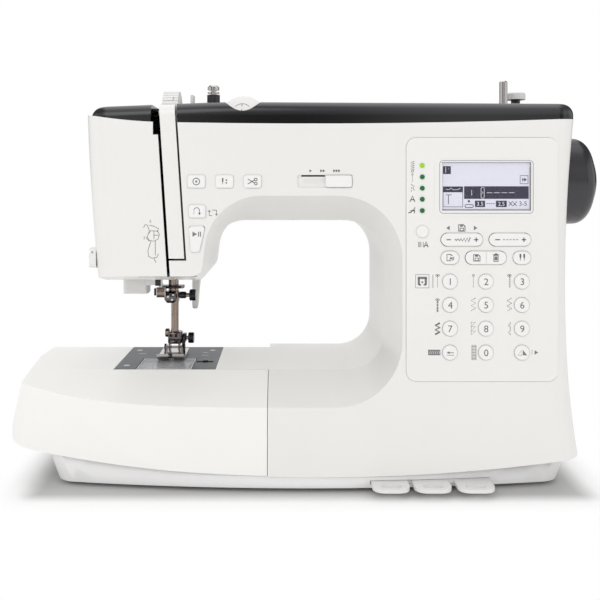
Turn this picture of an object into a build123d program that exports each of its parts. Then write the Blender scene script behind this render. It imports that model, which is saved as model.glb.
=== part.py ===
from build123d import *
import os
from math import atan2, cos, degrees, radians, sin, sqrt

# Household sewing machine, in millimetres. The front faces -Y, the hand wheel is at +X and the
# bench is Z = 0; the origin is under the middle of the overall box.
os.makedirs("parts", exist_ok=True)

# ---- Clearances ---------------------------------------------------------------------------
wall = 2.6  # moulded covers
clear = 0.4  # room between pieces that move past each other
play = 0.1  # radial room of a shaft in its bearing
rest_gap = 0.3  # room under pieces that only rest on each other

# ---- Overall ------------------------------------------------------------------------------
left_end = -219.4  # outermost point of the extension table
right_end = 219.4  # crown of the hand wheel
front_face = -59.5  # flat front of the arm and pillar
skirt_front = -67.5  # foot of the front cover, which flares forward to its seam
skirt_start = 100.0  # height where that flare begins
rear_face = 79.0
tray_rear = 82.5
split_face = 10.0  # joint between the front and rear covers

# ---- Heights ------------------------------------------------------------------------------
foot_height = 3.0
seam_low = 11.3  # seam of tray and covers, at mid length
seam_rise = 13.7  # how far that seam rises over seam_reach
seam_reach = 190.0
bed_top = 74.6
arm_seam_left = 259.2  # seam of covers and top cover: left end, dip, middle and right end
arm_seam_dip = 253.8
arm_seam_middle = 252.8
arm_seam_right = 256.2
dip_x = -112.0  # the seam falls faster from the left end to here
top_cover_top = 268.3  # crown of the top cover, which falls off to both ends
top_cover_left = 264.6
top_cover_right = 267.0
crown_x = -65.0  # where its two gentle slopes meet
crown_radius = 600.0

# ---- Throat -------------------------------------------------------------------------------
throat_top = 184.5
throat_right = 50.5
throat_left = -75.0
head_corner = -80.5
head_bottom = 140.5
flare_back = -20.5  # where the flared mouth of the throat ends; also the bed's front crease
flare_front = -62.0
flare_side = 8.5  # how far the mouth widens at the pillar
flare_up = 19.5
flare_down = 17.8
flare_head = 7.0  # how much higher the head's bottom is at the front

# ---- Stations along X ---------------------------------------------------------------------
table_seam = -34.5
arm_left = -148.4  # end of the free arm
head_left_top = -161.8
head_left_mid = -157.5
head_left_low = -152.5
pillar_right_top = 181.8
pillar_right_mid = 174.6
pillar_right_low = 184.0
needle_x = -110.5
needle_y = 20.0
free_arm_bottom = 27.0
free_arm_rear = 63.5

# ---- Head slots ---------------------------------------------------------------------------
slot_foot = -102.8  # thread slot's middle at slot_foot_height
slot_foot_height = 144.0
slot_lean = 3.7  # degrees, leaning left going up
slot_width = 2.0
slot_mouth_width = 5.5
slot_mouth_height = 245.0
strip_width = 10.6
strip_foot = 159.4
strip_slot = 1.4


def front_plane(y):
    """Upright plane at depth y: X across, Z up, and a positive extrusion comes forward."""
    return Plane.XZ.offset(-y)


def side_plane(x):
    """Upright plane at station x: Y across, Z up, and a positive extrusion goes to +X."""
    return Plane.YZ.offset(x)


def level_plane(z):
    return Plane.XY.offset(z)


def span(low, high):
    """Middle and length of a span."""
    return (low + high) / 2, high - low


def block(x, y, z):
    """A box given by its spans along the three axes."""
    spans = [span(*x), span(*y), span(*z)]
    middle = Location([s[0] for s in spans])
    return middle * Box(*[s[1] for s in spans], mode=Mode.PRIVATE)


def rod(axis, centre, radius, low, high):
    """A round bar along an axis, between two stations; centre gives the other two coordinates."""
    plane = {
        "X": Plane(origin=(low, *centre), z_dir=(1, 0, 0)),
        "Y": Plane(origin=(centre[0], low, centre[1]), z_dir=(0, 1, 0)),
        "Z": Plane(origin=(*centre, low), z_dir=(0, 0, 1)),
    }[axis]
    upright = (Align.CENTER, Align.CENTER, Align.MIN)
    return plane.location * Cylinder(radius, high - low, align=upright, mode=Mode.PRIVATE)


def slot_x(z):
    """Middle of the leaning thread slot at height z."""
    return slot_foot - (z - slot_foot_height) * sin(radians(slot_lean)) / cos(radians(slot_lean))


def skirt_radius():
    """Radius of the arc that flares the front out from skirt_start down to the seam."""
    drop = skirt_start - seam_low
    out = front_face - skirt_front
    return (drop**2 + out**2) / (2 * out)


def skirt_y(z):
    """Depth of the flared front at height z."""
    radius = skirt_radius()
    return front_face - (radius - sqrt(radius**2 - (skirt_start - z) ** 2))


def seam_z(x):
    return seam_low + seam_rise * (x / seam_reach) ** 2


# ---- Tools that several covers share ------------------------------------------------------
far = 260.0  # well outside the machine

with BuildPart() as below_seam:
    with BuildSketch(front_plane(far)):
        with BuildLine():
            ThreePointArc((-far, seam_z(-far)), (0, seam_low), (far, seam_z(far)))
            Polyline((far, seam_z(far)), (far, -far), (-far, -far), (-far, seam_z(-far)))
        make_face()
    extrude(amount=2 * far)

with BuildPart() as above_seam:
    with BuildSketch(front_plane(far)):
        with BuildLine():
            fall = ThreePointArc(
                (head_left_top, arm_seam_left),
                ((head_left_top + dip_x) / 2, (arm_seam_left + arm_seam_dip) / 2 - 0.9),
                (dip_x, arm_seam_dip),
            )
            rise = ThreePointArc(
                fall @ 1, (dip_x / 2 + pillar_right_top / 2, arm_seam_middle), (pillar_right_top, arm_seam_right)
            )
            Polyline(
                rise @ 1, (far, arm_seam_right), (far, 2 * far), (-far, 2 * far), (-far, arm_seam_left),
                fall @ 0,
            )
        make_face()
    extrude(amount=2 * far)


def throat_outline(grow, flare):
    """Corners of the throat seen from the front; flare is 0 at the back and 1 at the mouth."""
    top = throat_top + flare * flare_up + grow
    bottom = bed_top - flare * flare_down - grow
    right = throat_right + flare * flare_side + grow
    ceiling = head_bottom + flare * flare_head + grow
    corner = head_corner - grow
    radii = [8 - grow, 27 + 13 * flare + grow, 30 + 15 * flare + grow, 27 + 19 * flare + grow, 0, 0]
    points = [
        (corner, ceiling),
        (throat_left + flare - grow, top),
        (right, top),
        (right, bottom),
        (-far, bottom),
        (-far, ceiling),
    ]
    return points, radii


def throat_tool(grow):
    """The room under the arm, with its flared mouth; grow thickens it by a wall."""
    with BuildPart() as tool:
        for y, flare in ((flare_front, 1), (flare_back, 0)):
            with BuildSketch(front_plane(y)):
                points, radii = throat_outline(grow, flare)
                with BuildLine():
                    FilletPolyline(*points, radius=radii, close=True)
                make_face()
        loft(ruled=True)
        with BuildSketch(front_plane(flare_front)):
            points, radii = throat_outline(grow, 1)
            with BuildLine():
                FilletPolyline(*points, radius=radii, close=True)
            make_face()
        extrude(amount=40)
        with BuildSketch(front_plane(flare_back)):
            points, radii = throat_outline(grow, 0)
            with BuildLine():
                FilletPolyline(*points, radius=radii, close=True)
            make_face()
        extrude(amount=-far)
    return tool.part


def cover_form(inset, corner):
    """Arm, pillar and bed in one form; an inset gives the hollow, open above and below."""
    with BuildPart() as form:
        with BuildSketch(front_plane(rear_face - inset)):
            with BuildLine():
                right = ThreePointArc(
                    (pillar_right_low - inset, -1),
                    (pillar_right_mid - inset, 150),
                    (pillar_right_top - inset, top_cover_top),
                )
                left = ThreePointArc(
                    (head_left_top + inset, top_cover_top),
                    (head_left_mid + inset, 185),
                    (head_left_low + inset, 130),
                )
                Line(right @ 1, left @ 0)
                Polyline(left @ 1, (table_seam + inset, 130), (table_seam + inset, -1), right @ 0)
            make_face()
        extrude(amount=160)
        with BuildSketch(side_plane(-far)):
            with BuildLine():
                flare = ThreePointArc(
                    (front_face + inset, skirt_start),
                    (skirt_y(55) + inset, 55),
                    (skirt_y(seam_low) + inset, seam_low),
                )
                Polyline(
                    flare @ 1, (skirt_front + inset, -1), (rear_face - inset, -1),
                    (rear_face - inset, top_cover_top), (front_face + inset, top_cover_top), flare @ 0,
                )
            make_face()
        extrude(amount=2 * far, mode=Mode.INTERSECT)
        uprights = form.edges().filter_by(lambda e: e.length > 20 and abs((e % 0.5).Z) > 0.8)
        outer = uprights.filter_by(lambda e: not -140 < e.center().X < 100)
        fillet(outer, corner - inset)
    return form.part


# ---- Front, rear and face covers ----------------------------------------------------------
cover_corner = 14.0  # rounding of the upright outer edges
plate_thick = 2.0  # needle plate
plate_right = -73.5
head_opening = ((-149.5, -98), (4, 47), (120, 153))  # where the bars come out of the head
lifter_x = -95.5
lifter_width = 8.0
wheel_axis = (needle_y, 213.4)  # Y and Z of the main shaft
wheel_hub_radius = 14.0
panel_left = 61.0
panel_right = 165.5
panel_low = 74.8
panel_high = 242.9
panel_corner = 7.0
panel_sink = 1.5  # depth of the recess that the panel lies in
panel_lip = 4.0  # width of the ledge behind the panel's edge
slider_left = -14.0
slider_right = 24.0
slider_low = 208.3
slider_high = 217.3
slider_sink = 1.2
slider_slit = 3.0

free_arm = block((arm_left, table_seam + wall), (flare_back, free_arm_rear), (free_arm_bottom, bed_top))
free_arm_hollow = block(
    (arm_left + wall, table_seam + 2 * wall),
    (flare_back + wall, free_arm_rear - wall),
    (free_arm_bottom + wall, bed_top - wall),
)
plate_seat = block((arm_left, plate_right), (flare_back, free_arm_rear), (bed_top - plate_thick, bed_top + 1))
plate_well = block(
    (arm_left + wall, plate_right - wall),
    (flare_back + wall, free_arm_rear - wall),
    (bed_top - 2 * wall, bed_top),
)

with BuildPart() as covers:
    add(cover_form(0, cover_corner))
    add(throat_tool(0), mode=Mode.SUBTRACT)
    add(free_arm)
    add(below_seam.part, mode=Mode.SUBTRACT)
    add(above_seam.part, mode=Mode.SUBTRACT)
    hollow = cover_form(wall, cover_corner) - throat_tool(wall) + free_arm_hollow
    add(hollow, mode=Mode.SUBTRACT)
    add(plate_seat, mode=Mode.SUBTRACT)
    add(plate_well, mode=Mode.SUBTRACT)
    add(block(*head_opening), mode=Mode.SUBTRACT)
    add(
        block((lifter_x - lifter_width / 2 - 1, lifter_x + lifter_width / 2 + 1), (46, 90), (120, 168)),
        mode=Mode.SUBTRACT,
    )


def beside_slot(side, room, y):
    """Everything left (-1) or right (+1) of the leaning thread slot, room away from its middle."""
    low_x, high_x = slot_x(0), slot_x(300)
    with BuildPart() as region:
        with BuildSketch(front_plane(y[1])):
            with BuildLine():
                Polyline(
                    (low_x + side * room, 0), (side * far, 0), (side * far, 300), (high_x + side * room, 300),
                    close=True,
                )
            make_face()
        extrude(amount=y[1] - y[0])
    return region.part


lug_middle = (-44.0, 159.0)  # thread cutter's lug on the end wall: Y and Z
lug_size = (16.0, 14.0)
lug_proud = 2.2
front_half = (-far / 2, split_face)
rear_half = (split_face, far / 2)
head_only = block((-far, 0), (-far / 2, far / 2), (100, 300))

with BuildPart() as face_cover:
    add(covers.part)
    add(head_only, mode=Mode.INTERSECT)
    add(
        beside_slot(-1, slot_width / 2, front_half) + beside_slot(-1, 0, rear_half),
        mode=Mode.INTERSECT,
    )
    # the mouth of the slot, where the take-up lever shows
    mouth_x = slot_x(slot_mouth_height)
    add(
        block((mouth_x - slot_mouth_width + slot_width / 2, mouth_x + 9), (-far, -20), (slot_mouth_height, 300)),
        mode=Mode.SUBTRACT,
    )
    # thread cutter: a lug on the end wall with a notch for its blade
    lug_left = head_left_mid - lug_proud
    with BuildSketch(side_plane(lug_left)):
        with Locations((lug_middle[0], lug_middle[1])):
            RectangleRounded(*lug_size, 4)
    extrude(amount=lug_proud + wall)
    lug_notch = (lug_middle[0] - lug_size[0] / 2 - 1, lug_middle[0] - lug_size[0] / 2 + 6)
    add(
        block((lug_left - 1, lug_left + 3), lug_notch, (lug_middle[1] + 3.5, lug_middle[1] + 5)),
        mode=Mode.SUBTRACT,
    )

strip_left = beside_slot(1, slot_width / 2, front_half)
strip_right = beside_slot(1, slot_width / 2 + strip_width, front_half)
groove_right = beside_slot(1, slot_width / 2 + strip_width + strip_slot, front_half)
wall_skin = block((-far, 0), (front_face - 1, front_face + wall), (strip_foot - strip_slot, 300))

panel_plane = front_plane(front_face)
panel_middle = ((panel_left + panel_right) / 2, (panel_low + panel_high) / 2)


def panel_outline(inset):
    """Rounded outline of the control panel, moved inwards by inset."""
    RectangleRounded(
        panel_right - panel_left - 2 * inset, panel_high - panel_low - 2 * inset, panel_corner - inset
    )


slider_middle = ((slider_left + slider_right) / 2, (slider_low + slider_high) / 2)

# Head buttons: name -> middle (X, Z), size
head_row = 212.6
head_buttons = {
    "lock_stitch_button": ((-83.7, head_row), (12.3, 8.8)),
    "needle_position_button": ((-64.3, head_row), (12.3, 8.8)),
    "thread_cutter_button": ((-45.0, head_row), (12.3, 8.8)),
    "reverse_button": ((-83.2, 192.1), (11.7, 8.9)),
}
start_outline = [(-89.0, 181.8), (-77.6, 181.8), (-81.6, 163.9), (-87.6, 163.9)]
button_corner = 1.8


def start_shape(grow):
    """Outline of the start button, which tapers downwards."""
    with BuildSketch() as outline:
        with BuildLine():
            FilletPolyline(*start_outline, radius=button_corner, close=True)
        make_face()
        if grow:
            offset(amount=grow)
    return outline.sketch


with BuildPart() as front_cover:
    add(covers.part)
    add(block((-far, far), front_half, (-far, 300)), mode=Mode.INTERSECT)
    add(
        beside_slot(1, slot_width / 2, front_half) + block((-far, far), front_half, (-far, 120)),
        mode=Mode.INTERSECT,
    )
    # the second slot, down beside the strip and back under it to the thread slot
    add((strip_right - groove_right) & wall_skin, mode=Mode.SUBTRACT)
    under_strip = (strip_left - groove_right) & block(
        (-far, 0), (front_face - 1, front_face + wall), (strip_foot - strip_slot, strip_foot)
    )
    add(under_strip, mode=Mode.SUBTRACT)
    # a bridge behind that slot carries the strip
    bridge = (strip_left - beside_slot(1, slot_width / 2 + strip_width + 3.2, front_half)) & block(
        (-far, 0), (front_face + wall, front_face + 2 * wall), (strip_foot - 8, slot_mouth_height)
    )
    add(bridge - beside_slot(-1, -slot_width / 2 - 3, front_half))
    # panel recess and the opening behind it; it starts ahead of the flared foot of the face
    with BuildSketch(front_plane(skirt_front)):
        with Locations(panel_middle):
            panel_outline(-clear / 2)
    extrude(amount=skirt_front - front_face - panel_sink, mode=Mode.SUBTRACT)
    with BuildSketch(panel_plane):
        with Locations(panel_middle):
            panel_outline(panel_lip)
    extrude(amount=-2 * wall, mode=Mode.SUBTRACT)
    # speed slider: a shallow bed with a slit through it
    with BuildSketch(panel_plane):
        with Locations(slider_middle):
            RectangleRounded(slider_right - slider_left, slider_high - slider_low, 1.5)
    extrude(amount=-slider_sink, mode=Mode.SUBTRACT)
    with BuildSketch(panel_plane):
        with Locations(slider_middle):
            SlotOverall(slider_right - slider_left - 8, slider_slit)
    extrude(amount=-2 * wall, mode=Mode.SUBTRACT)
    # holes for the head buttons
    for middle, size in head_buttons.values():
        with BuildSketch(panel_plane):
            with Locations(middle):
                RectangleRounded(size[0] + 2 * clear, size[1] + 2 * clear, button_corner + clear)
        extrude(amount=-2 * wall, mode=Mode.SUBTRACT)
    with BuildSketch(panel_plane):
        add(start_shape(clear))
    extrude(amount=-2 * wall, mode=Mode.SUBTRACT)

with BuildPart() as rear_cover:
    add(covers.part)
    add(block((-far, far), rear_half, (-far, 300)), mode=Mode.INTERSECT)
    add(
        beside_slot(1, 0, rear_half) + block((-far, far), rear_half, (-far, 120)),
        mode=Mode.INTERSECT,
    )

# The hand wheel's hub passes through the end wall, across the joint of the two covers.
hub_hole = rod("X", wheel_axis, wheel_hub_radius + clear, 160, far)
front_cover.part -= hub_hole
rear_cover.part -= hub_hole

# ---- Power inlet, pedal jack and vents ----------------------------------------------------
inlet_middle = (63.0, 50.0)  # Y and Z, in the lower end wall of the pillar
inlet_size = (22.0, 18.0)
inlet_left = 158.0
inlet_sink = 1.0  # how far its face lies below the wall's
inlet_slot = (15.0, 8.0)
inlet_depth = 11.0
inlet_pin = (1.2, 8.0)  # radius and spacing of the two pins
jack_middle = (63.0, 72.0)
jack_radius = 5.0
jack_bore = 1.8
vent_middle = (112.0, 150.0)
vent_count = 9
vent_pitch = 6.0
vent_size = (34.0, 2.6)

with BuildPart() as inlet_body:
    add(
        block(
            (inlet_left, far),
            (inlet_middle[0] - inlet_size[0] / 2, inlet_middle[0] + inlet_size[0] / 2),
            (inlet_middle[1] - inlet_size[1] / 2, inlet_middle[1] + inlet_size[1] / 2),
        )
    )
jack_body = rod("X", jack_middle, jack_radius, inlet_left, far)
rear_cover.part -= inlet_body.part + jack_body

with BuildPart() as sockets:
    add(inlet_body.part)
    add(jack_body)
    add(cover_form(inlet_sink, cover_corner), mode=Mode.INTERSECT)
    socket_face = sockets.part.bounding_box().max.X
    with BuildSketch(side_plane(socket_face - inlet_depth)):
        with Locations(inlet_middle):
            SlotOverall(*inlet_slot)
    extrude(amount=far, mode=Mode.SUBTRACT)
    for side in (-1, 1):
        pin_centre = (inlet_middle[0] + side * inlet_pin[1] / 2, inlet_middle[1])
        add(rod("X", pin_centre, inlet_pin[0], socket_face - inlet_depth - 1, socket_face - 2))
    add(rod("X", jack_middle, jack_bore, socket_face - inlet_depth, far), mode=Mode.SUBTRACT)

with BuildPart() as vent_slots:
    with BuildSketch(front_plane(rear_face)):
        with Locations(vent_middle):
            with GridLocations(vent_pitch, 1, vent_count, 1):
                SlotOverall(*vent_size, rotation=90)
    extrude(amount=2 * wall)
rear_cover.part -= vent_slots.part


# ---- Top cover ----------------------------------------------------------------------------
lid_left = -158.5
lid_right = 180.0
lid_corner = 13.0
lid_edge = 8.0  # rounding of the cover's top edge
dial_x = -103.0  # thread tension dial
dial_centre = (-38.0, 261.0)
dial_radius = 16.0
dial_width = 11.0
dial_room = 0.6  # gap at each end of the dial
trough_centre = (22.0, 273.8)  # half-round trough that holds the thread spool
trough_radius = 15.0
trough_left = -42.0
trough_right = 79.5
pan_left = -66.0  # shallow pan that the carry handle folds into
pan_right = 66.0
pan_front = 42.0
pan_rear = 72.0
pan_depth = 8.0
handle_hinge = (67.0, 263.9)  # Y and Z of the handle's pivots, in the pan's end walls
handle_bar = 47.0
handle_pin = (1.8, 2.0)  # radius and length of each pivot
spool_z = 265.2  # spool pin, lying in the trough and hinged at its right end
spool_pin_radius = 3.0
spool_tip = -30.0
spool_hinge_x = 74.0
spool_hinge = (1.5, 13.2)  # radius and half length of its hinge pin
winder_x = 142.0
winder_y = -7.5
winder_hole = 4.0
stop_place = (155.0, 6.0)
pressure_place = (-52.0, -45.0, 264.6)
pressure_radius = 12.6
pressure_tilt = 40.0  # degrees, facing forward and up

pressure_plane = Plane(
    origin=pressure_place,
    x_dir=(1, 0, 0),
    z_dir=(0, -sin(radians(pressure_tilt)), cos(radians(pressure_tilt))),
)


def lid_form(inset):
    """The top cover's outer form, or its hollow when inset by the wall."""
    with BuildPart() as form:
        with BuildSketch(level_plane(arm_seam_middle - 5)):
            with Locations(((lid_left + lid_right) / 2, (front_face + rear_face) / 2)):
                RectangleRounded(
                    lid_right - lid_left - 2 * inset, rear_face - front_face - 2 * inset, lid_corner - inset
                )
        extrude(amount=top_cover_top - arm_seam_middle + 15)
        with BuildSketch(front_plane(far)):
            with BuildLine():
                crown = FilletPolyline(
                    (lid_left, top_cover_left - inset),
                    (crown_x, top_cover_top - inset),
                    (lid_right, top_cover_right - inset),
                    radius=crown_radius,
                )
                Polyline(crown @ 1, (lid_right, far * 2), (lid_left, far * 2), crown @ 0)
            make_face()
        extrude(amount=2 * far, mode=Mode.SUBTRACT)
        upper_faces = form.faces().filter_by(lambda face: face.normal_at().Z > 0.9)
        inner = upper_faces.edges().filter_by(Axis.Y).filter_by_position(Axis.X, lid_left + lid_corner, lid_right - lid_corner)
        fillet([edge for edge in upper_faces.edges() if edge not in inner], lid_edge - inset)
    return form.part


def trough(grow):
    return rod("X", trough_centre, trough_radius + grow, trough_left - grow, trough_right + grow)


def pan(grow):
    return block(
        (pan_left - grow, pan_right + grow),
        (pan_front - grow, pan_rear + grow),
        (top_cover_top - pan_depth - grow, top_cover_top + 5),
    )


mouth_left = slot_x(top_cover_top) - slot_mouth_width + slot_width / 2
mouth_room = block((mouth_left, 0), (-far, dial_centre[0] + dial_radius - 1), (240, 300)) - groove_right
strip_front = block((-far, 0), (-far, split_face), (0, 300))
dial_hole = rod(
    "X", dial_centre, dial_radius + 1, dial_x - dial_width / 2 - dial_room, dial_x + dial_width / 2 + dial_room
)

# the strip between the thread slots runs on over the top cover's edge, up to the dial
strip_cap = (lid_form(0) - lid_form(wall)) & above_seam.part & (strip_left - strip_right)
strip_cap = strip_cap & block((-far, 0), (-far, dial_centre[0] - dial_radius + 5), (240, 300))
front_cover.part += strip_cap - dial_hole

with BuildPart() as top_cover:
    add(lid_form(0))
    add(above_seam.part, mode=Mode.INTERSECT)
    add(lid_form(wall) - trough(wall) - pan(wall), mode=Mode.SUBTRACT)
    add(trough(0), mode=Mode.SUBTRACT)
    add(pan(0), mode=Mode.SUBTRACT)
    # holes for the pivots of the handle and of the spool pin
    reach = handle_pin[1] + play - 1
    add(rod("X", handle_hinge, handle_pin[0] + play, pan_left - reach, pan_right + reach), mode=Mode.SUBTRACT)
    reach = spool_hinge[1] + play
    pivot_span = (trough_centre[0] - reach, trough_centre[0] + reach)
    add(rod("Y", (spool_hinge_x, spool_z), spool_hinge[0] + play, *pivot_span), mode=Mode.SUBTRACT)
    # room for the thread slots, the strip between them and the tension dial
    add(mouth_room & strip_front, mode=Mode.SUBTRACT)
    add(dial_hole, mode=Mode.SUBTRACT)
    # seat of the pressure dial, and holes for the winder spindle
    with BuildSketch(pressure_plane.offset(-5)):
        Circle(pressure_radius + clear)
    extrude(amount=40, mode=Mode.SUBTRACT)
    add(rod("Z", (winder_x, winder_y), winder_hole, 240, 300), mode=Mode.SUBTRACT)

# ---- Base tray with its feet --------------------------------------------------------------
tray_left = -183.5
tray_right = 170.5
tray_front = -65.0
tray_front_end = -50.0
tray_taper = 16.0  # degrees, widening upwards
tray_floor = 2.6
tray_corner = 16.0
card_thick = 2.4
card_left = 36.0
card_right = 118.0
card_rear = 40.0
card_low = foot_height + tray_floor + rest_gap
foot_radius = 9.0
foot_sink = 1.5


def tray_form(inset):
    """Tapering tray below the seam, or its hollow when inset by the wall."""
    with BuildPart() as form:
        with BuildSketch(level_plane(foot_height)):
            with BuildLine():
                bow = ThreePointArc(
                    (tray_left + inset, tray_front_end + inset),
                    ((tray_left + tray_right) / 2, tray_front + inset),
                    (tray_right - inset, tray_front_end + inset),
                )
                Polyline(
                    bow @ 1, (tray_right - inset, rear_face - inset), (tray_left + inset, rear_face - inset),
                    bow @ 0,
                )
            make_face()
        extrude(amount=45, taper=-tray_taper)
        uprights = form.edges().filter_by(lambda e: e.length > 20 and abs((e % 0.5).Z) > 0.5)
        fillet(uprights, tray_corner - inset)
    return form.part


foot_places = [(x, y) for x in (tray_left + 30, tray_right - 25) for y in (-35, 60)]

with BuildPart() as tray_shell:
    add(tray_form(0))
    add(below_seam.part, mode=Mode.INTERSECT)
    add(block((-far, far), (-far, tray_rear), (0, 100)), mode=Mode.INTERSECT)
    add(
        tray_form(wall) & block((-far, far), (-far, tray_rear - wall), (foot_height + tray_floor, 100)),
        mode=Mode.SUBTRACT,
    )
    # slot for the reference cards, and sinks for the feet
    add(
        block(
            (card_left - clear, card_right + clear),
            (-far, 0),
            (card_low - rest_gap, card_low + card_thick + rest_gap),
        ),
        mode=Mode.SUBTRACT,
    )
    for place in foot_places:
        add(rod("Z", place, foot_radius, 0, foot_height + foot_sink), mode=Mode.SUBTRACT)

feet = [rod("Z", place, foot_radius, 0, foot_height + foot_sink) for place in foot_places]

# ---- Extension table ----------------------------------------------------------------------
table_top_left = -217.5
table_heel = 26.0  # underside at the left end
table_heel_round = 10.0
table_front_middle = -65.5
table_corner_x = -192.0
table_corner_y = -57.5
table_side_y = -28.0
table_lean = (-0.123, 0.268)  # how far the leaning end moves in X per mm of Y and of Z
table_lean_x = -232.3
scoop_slope = flare_down / (flare_back - flare_front)


def table_form(inset):
    with BuildPart() as form:
        with BuildSketch(front_plane(free_arm_rear - inset)):
            outline = [
                (table_seam - clear - inset, bed_top - inset),
                (table_top_left + inset, bed_top - inset),
                (left_end + inset, table_heel + table_heel_round + 2),
                (left_end + inset, table_heel),
                (tray_left - 8, table_heel),
                (tray_left - 8, 0),
                (table_seam - clear - inset, 0),
            ]
            with BuildLine():
                rounds = [0, 3 - inset, 30, table_heel_round - inset, 0, 0, 0]
                FilletPolyline(*outline, radius=rounds, close=True)
            make_face()
        extrude(amount=150)
        with BuildSketch(level_plane(-1)):
            with BuildLine():
                bow = ThreePointArc(
                    (table_seam, skirt_front + inset),
                    (-120, table_front_middle + inset),
                    (table_corner_x, table_corner_y + inset),
                )
                turn = ThreePointArc(
                    bow @ 1, (-212 + inset, -47.5 + inset), (left_end + inset, table_side_y)
                )
                Polyline(
                    turn @ 1, (left_end + inset, free_arm_rear - inset),
                    (table_seam, free_arm_rear - inset), bow @ 0,
                )
            make_face()
        extrude(amount=100, mode=Mode.INTERSECT)
        with BuildSketch(side_plane(-far)):
            with BuildLine():
                flare = ThreePointArc(
                    (front_face + inset, skirt_start),
                    (skirt_y(55) + inset, 55),
                    (skirt_y(seam_low) + inset, seam_low),
                )
                Polyline(
                    flare @ 1, (skirt_front + inset, -1), (rear_face, -1), (rear_face, skirt_start), flare @ 0
                )
            make_face()
        extrude(amount=2 * far, mode=Mode.INTERSECT)
        # the end leans inwards at the top and towards the front
        leaning = Plane(origin=(table_lean_x + inset, 0, 0), z_dir=(-1, *table_lean))
        with BuildSketch(leaning):
            Rectangle(4 * far, 4 * far)
        extrude(amount=far, mode=Mode.SUBTRACT)
    return form.part


def scoop(lower):
    """The sloping cut along the front of the table's top, fading out towards its left end."""
    steps = 5
    reach = table_seam - table_top_left
    with BuildPart() as cut:
        for step in range(steps + 1):
            share = step / steps
            slope = scoop_slope * (1 - share**3)
            with BuildSketch(side_plane(table_seam + 1 - share * reach)):
                with BuildLine():
                    Polyline(
                        (flare_back, bed_top - lower), (-90, bed_top - lower - slope * (flare_back + 90)),
                        (-90, 99), (flare_back, 99), close=True,
                    )
                make_face()
        loft()
    return cut.part


arm_pocket = (arm_left - clear, flare_back - clear)


def pocket(grow):
    """Room in the table for the free arm; grow leaves a wall round it."""
    return block((arm_pocket[0] - grow, 0), (arm_pocket[1] - grow, 200), (-10, 200))


with BuildPart() as extension_table:
    add(table_form(0))
    add(scoop(0), mode=Mode.SUBTRACT)
    add(pocket(0), mode=Mode.SUBTRACT)
    add(Location((0, 0, clear)) * below_seam.part, mode=Mode.SUBTRACT)
    add(table_form(wall) - scoop(wall * 1.1) - pocket(wall), mode=Mode.SUBTRACT)

# ---- Needle plate, bobbin cover and latch -------------------------------------------------
cover_plate = ((-132.5, -91.5), (flare_back, 18.5))  # clear cover over the bobbin
cover_thick = 1.6
latch = ((-88.5, -80.5), (3.0, 8.0))
latch_travel = 3.0
feed_slots = (-117.5, -110.5, -103.5)  # stations of the three slots
feed_slot_width = 3.2
feed_low = 25.0
feed_high = 46.0
bobbin_axis = (needle_x - 1.5, 1.0)

with BuildPart() as needle_plate:
    add(block((arm_left, plate_right), (flare_back, free_arm_rear), (bed_top - plate_thick, bed_top)))
    add(
        block((cover_plate[0][0] - clear, cover_plate[0][1] + clear), (-far, cover_plate[1][1] + clear), (60, 90)),
        mode=Mode.SUBTRACT,
    )
    add(block((latch[0][0] - 2, latch[0][1] + latch_travel), latch[1], (60, 90)), mode=Mode.SUBTRACT)
    with BuildSketch(level_plane(bed_top)):
        with Locations((needle_x, needle_y)):
            SlotOverall(9, 2.4)
        for x in feed_slots:
            with Locations((x, (feed_low + feed_high) / 2)):
                Rectangle(feed_slot_width, feed_high - feed_low)
        with Locations((arm_left + 7, -8), (arm_left + 7, 50), (plate_right - 8, 50)):
            Circle(2.2)
    extrude(amount=-plate_thick, mode=Mode.SUBTRACT)

with BuildPart() as bobbin_cover:
    with BuildSketch(level_plane(bed_top - cover_thick)):
        with Locations(((cover_plate[0][0] + cover_plate[0][1]) / 2, (cover_plate[1][0] + cover_plate[1][1]) / 2)):
            RectangleRounded(
                cover_plate[0][1] - cover_plate[0][0], cover_plate[1][1] - cover_plate[1][0], 2
            )
    extrude(amount=cover_thick)
    # the rear edge is rounded, because the cover tips up about it
    fillet(bobbin_cover.edges().filter_by(Axis.X).group_by(Axis.Y)[-1], cover_thick / 2 - 0.01)

with BuildPart() as bobbin_latch:
    add(block((latch[0][0] + 3, latch[0][1] - 1), (latch[1][0] + clear, latch[1][1] - clear), (70.5, bed_top + 0.6)))
    add(block((latch[0][0], latch[0][1] + 1), (latch[1][0] - 2, latch[1][1] + 2), (69, bed_top - plate_thick - clear)))

# ---- Control panel ------------------------------------------------------------------------
panel_proud = 0.5
panel_thick = panel_sink + panel_proud
panel_face = front_face - panel_proud
panel_back = panel_face + panel_thick
board_front = -48.0
board_thick = 1.6
board_inset = 5.5  # board edge inside the panel's edge
key_radius = 5.05
key_columns = (91.0, 115.7, 140.5)
key_rows = (143.7, 127.6, 111.3, 94.8)
mode_place = (72.0, 178.2)
mode_radius = 4.15
key_proud = 1.4
key_travel = 1.0
key_flange = 0.9  # how far the flange behind the panel reaches past the cap
rocker_row = 172.6
rocker_size = (28.7, 8.8)
edit_row = 160.1
rocker_room = 0.6
rocker_axis_y = -55.0
lamp_x = 72.0
lamp_heights = (223.7, 215.8, 208.0, 200.4, 192.6)
lamp_radius = 1.6
bezel = (80.5, 150.3, 188.5, 228.0)
bezel_proud = 0.4
glass = (85.5, 146.8, 192.6, 226.0)
glass_thick = 1.5

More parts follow.
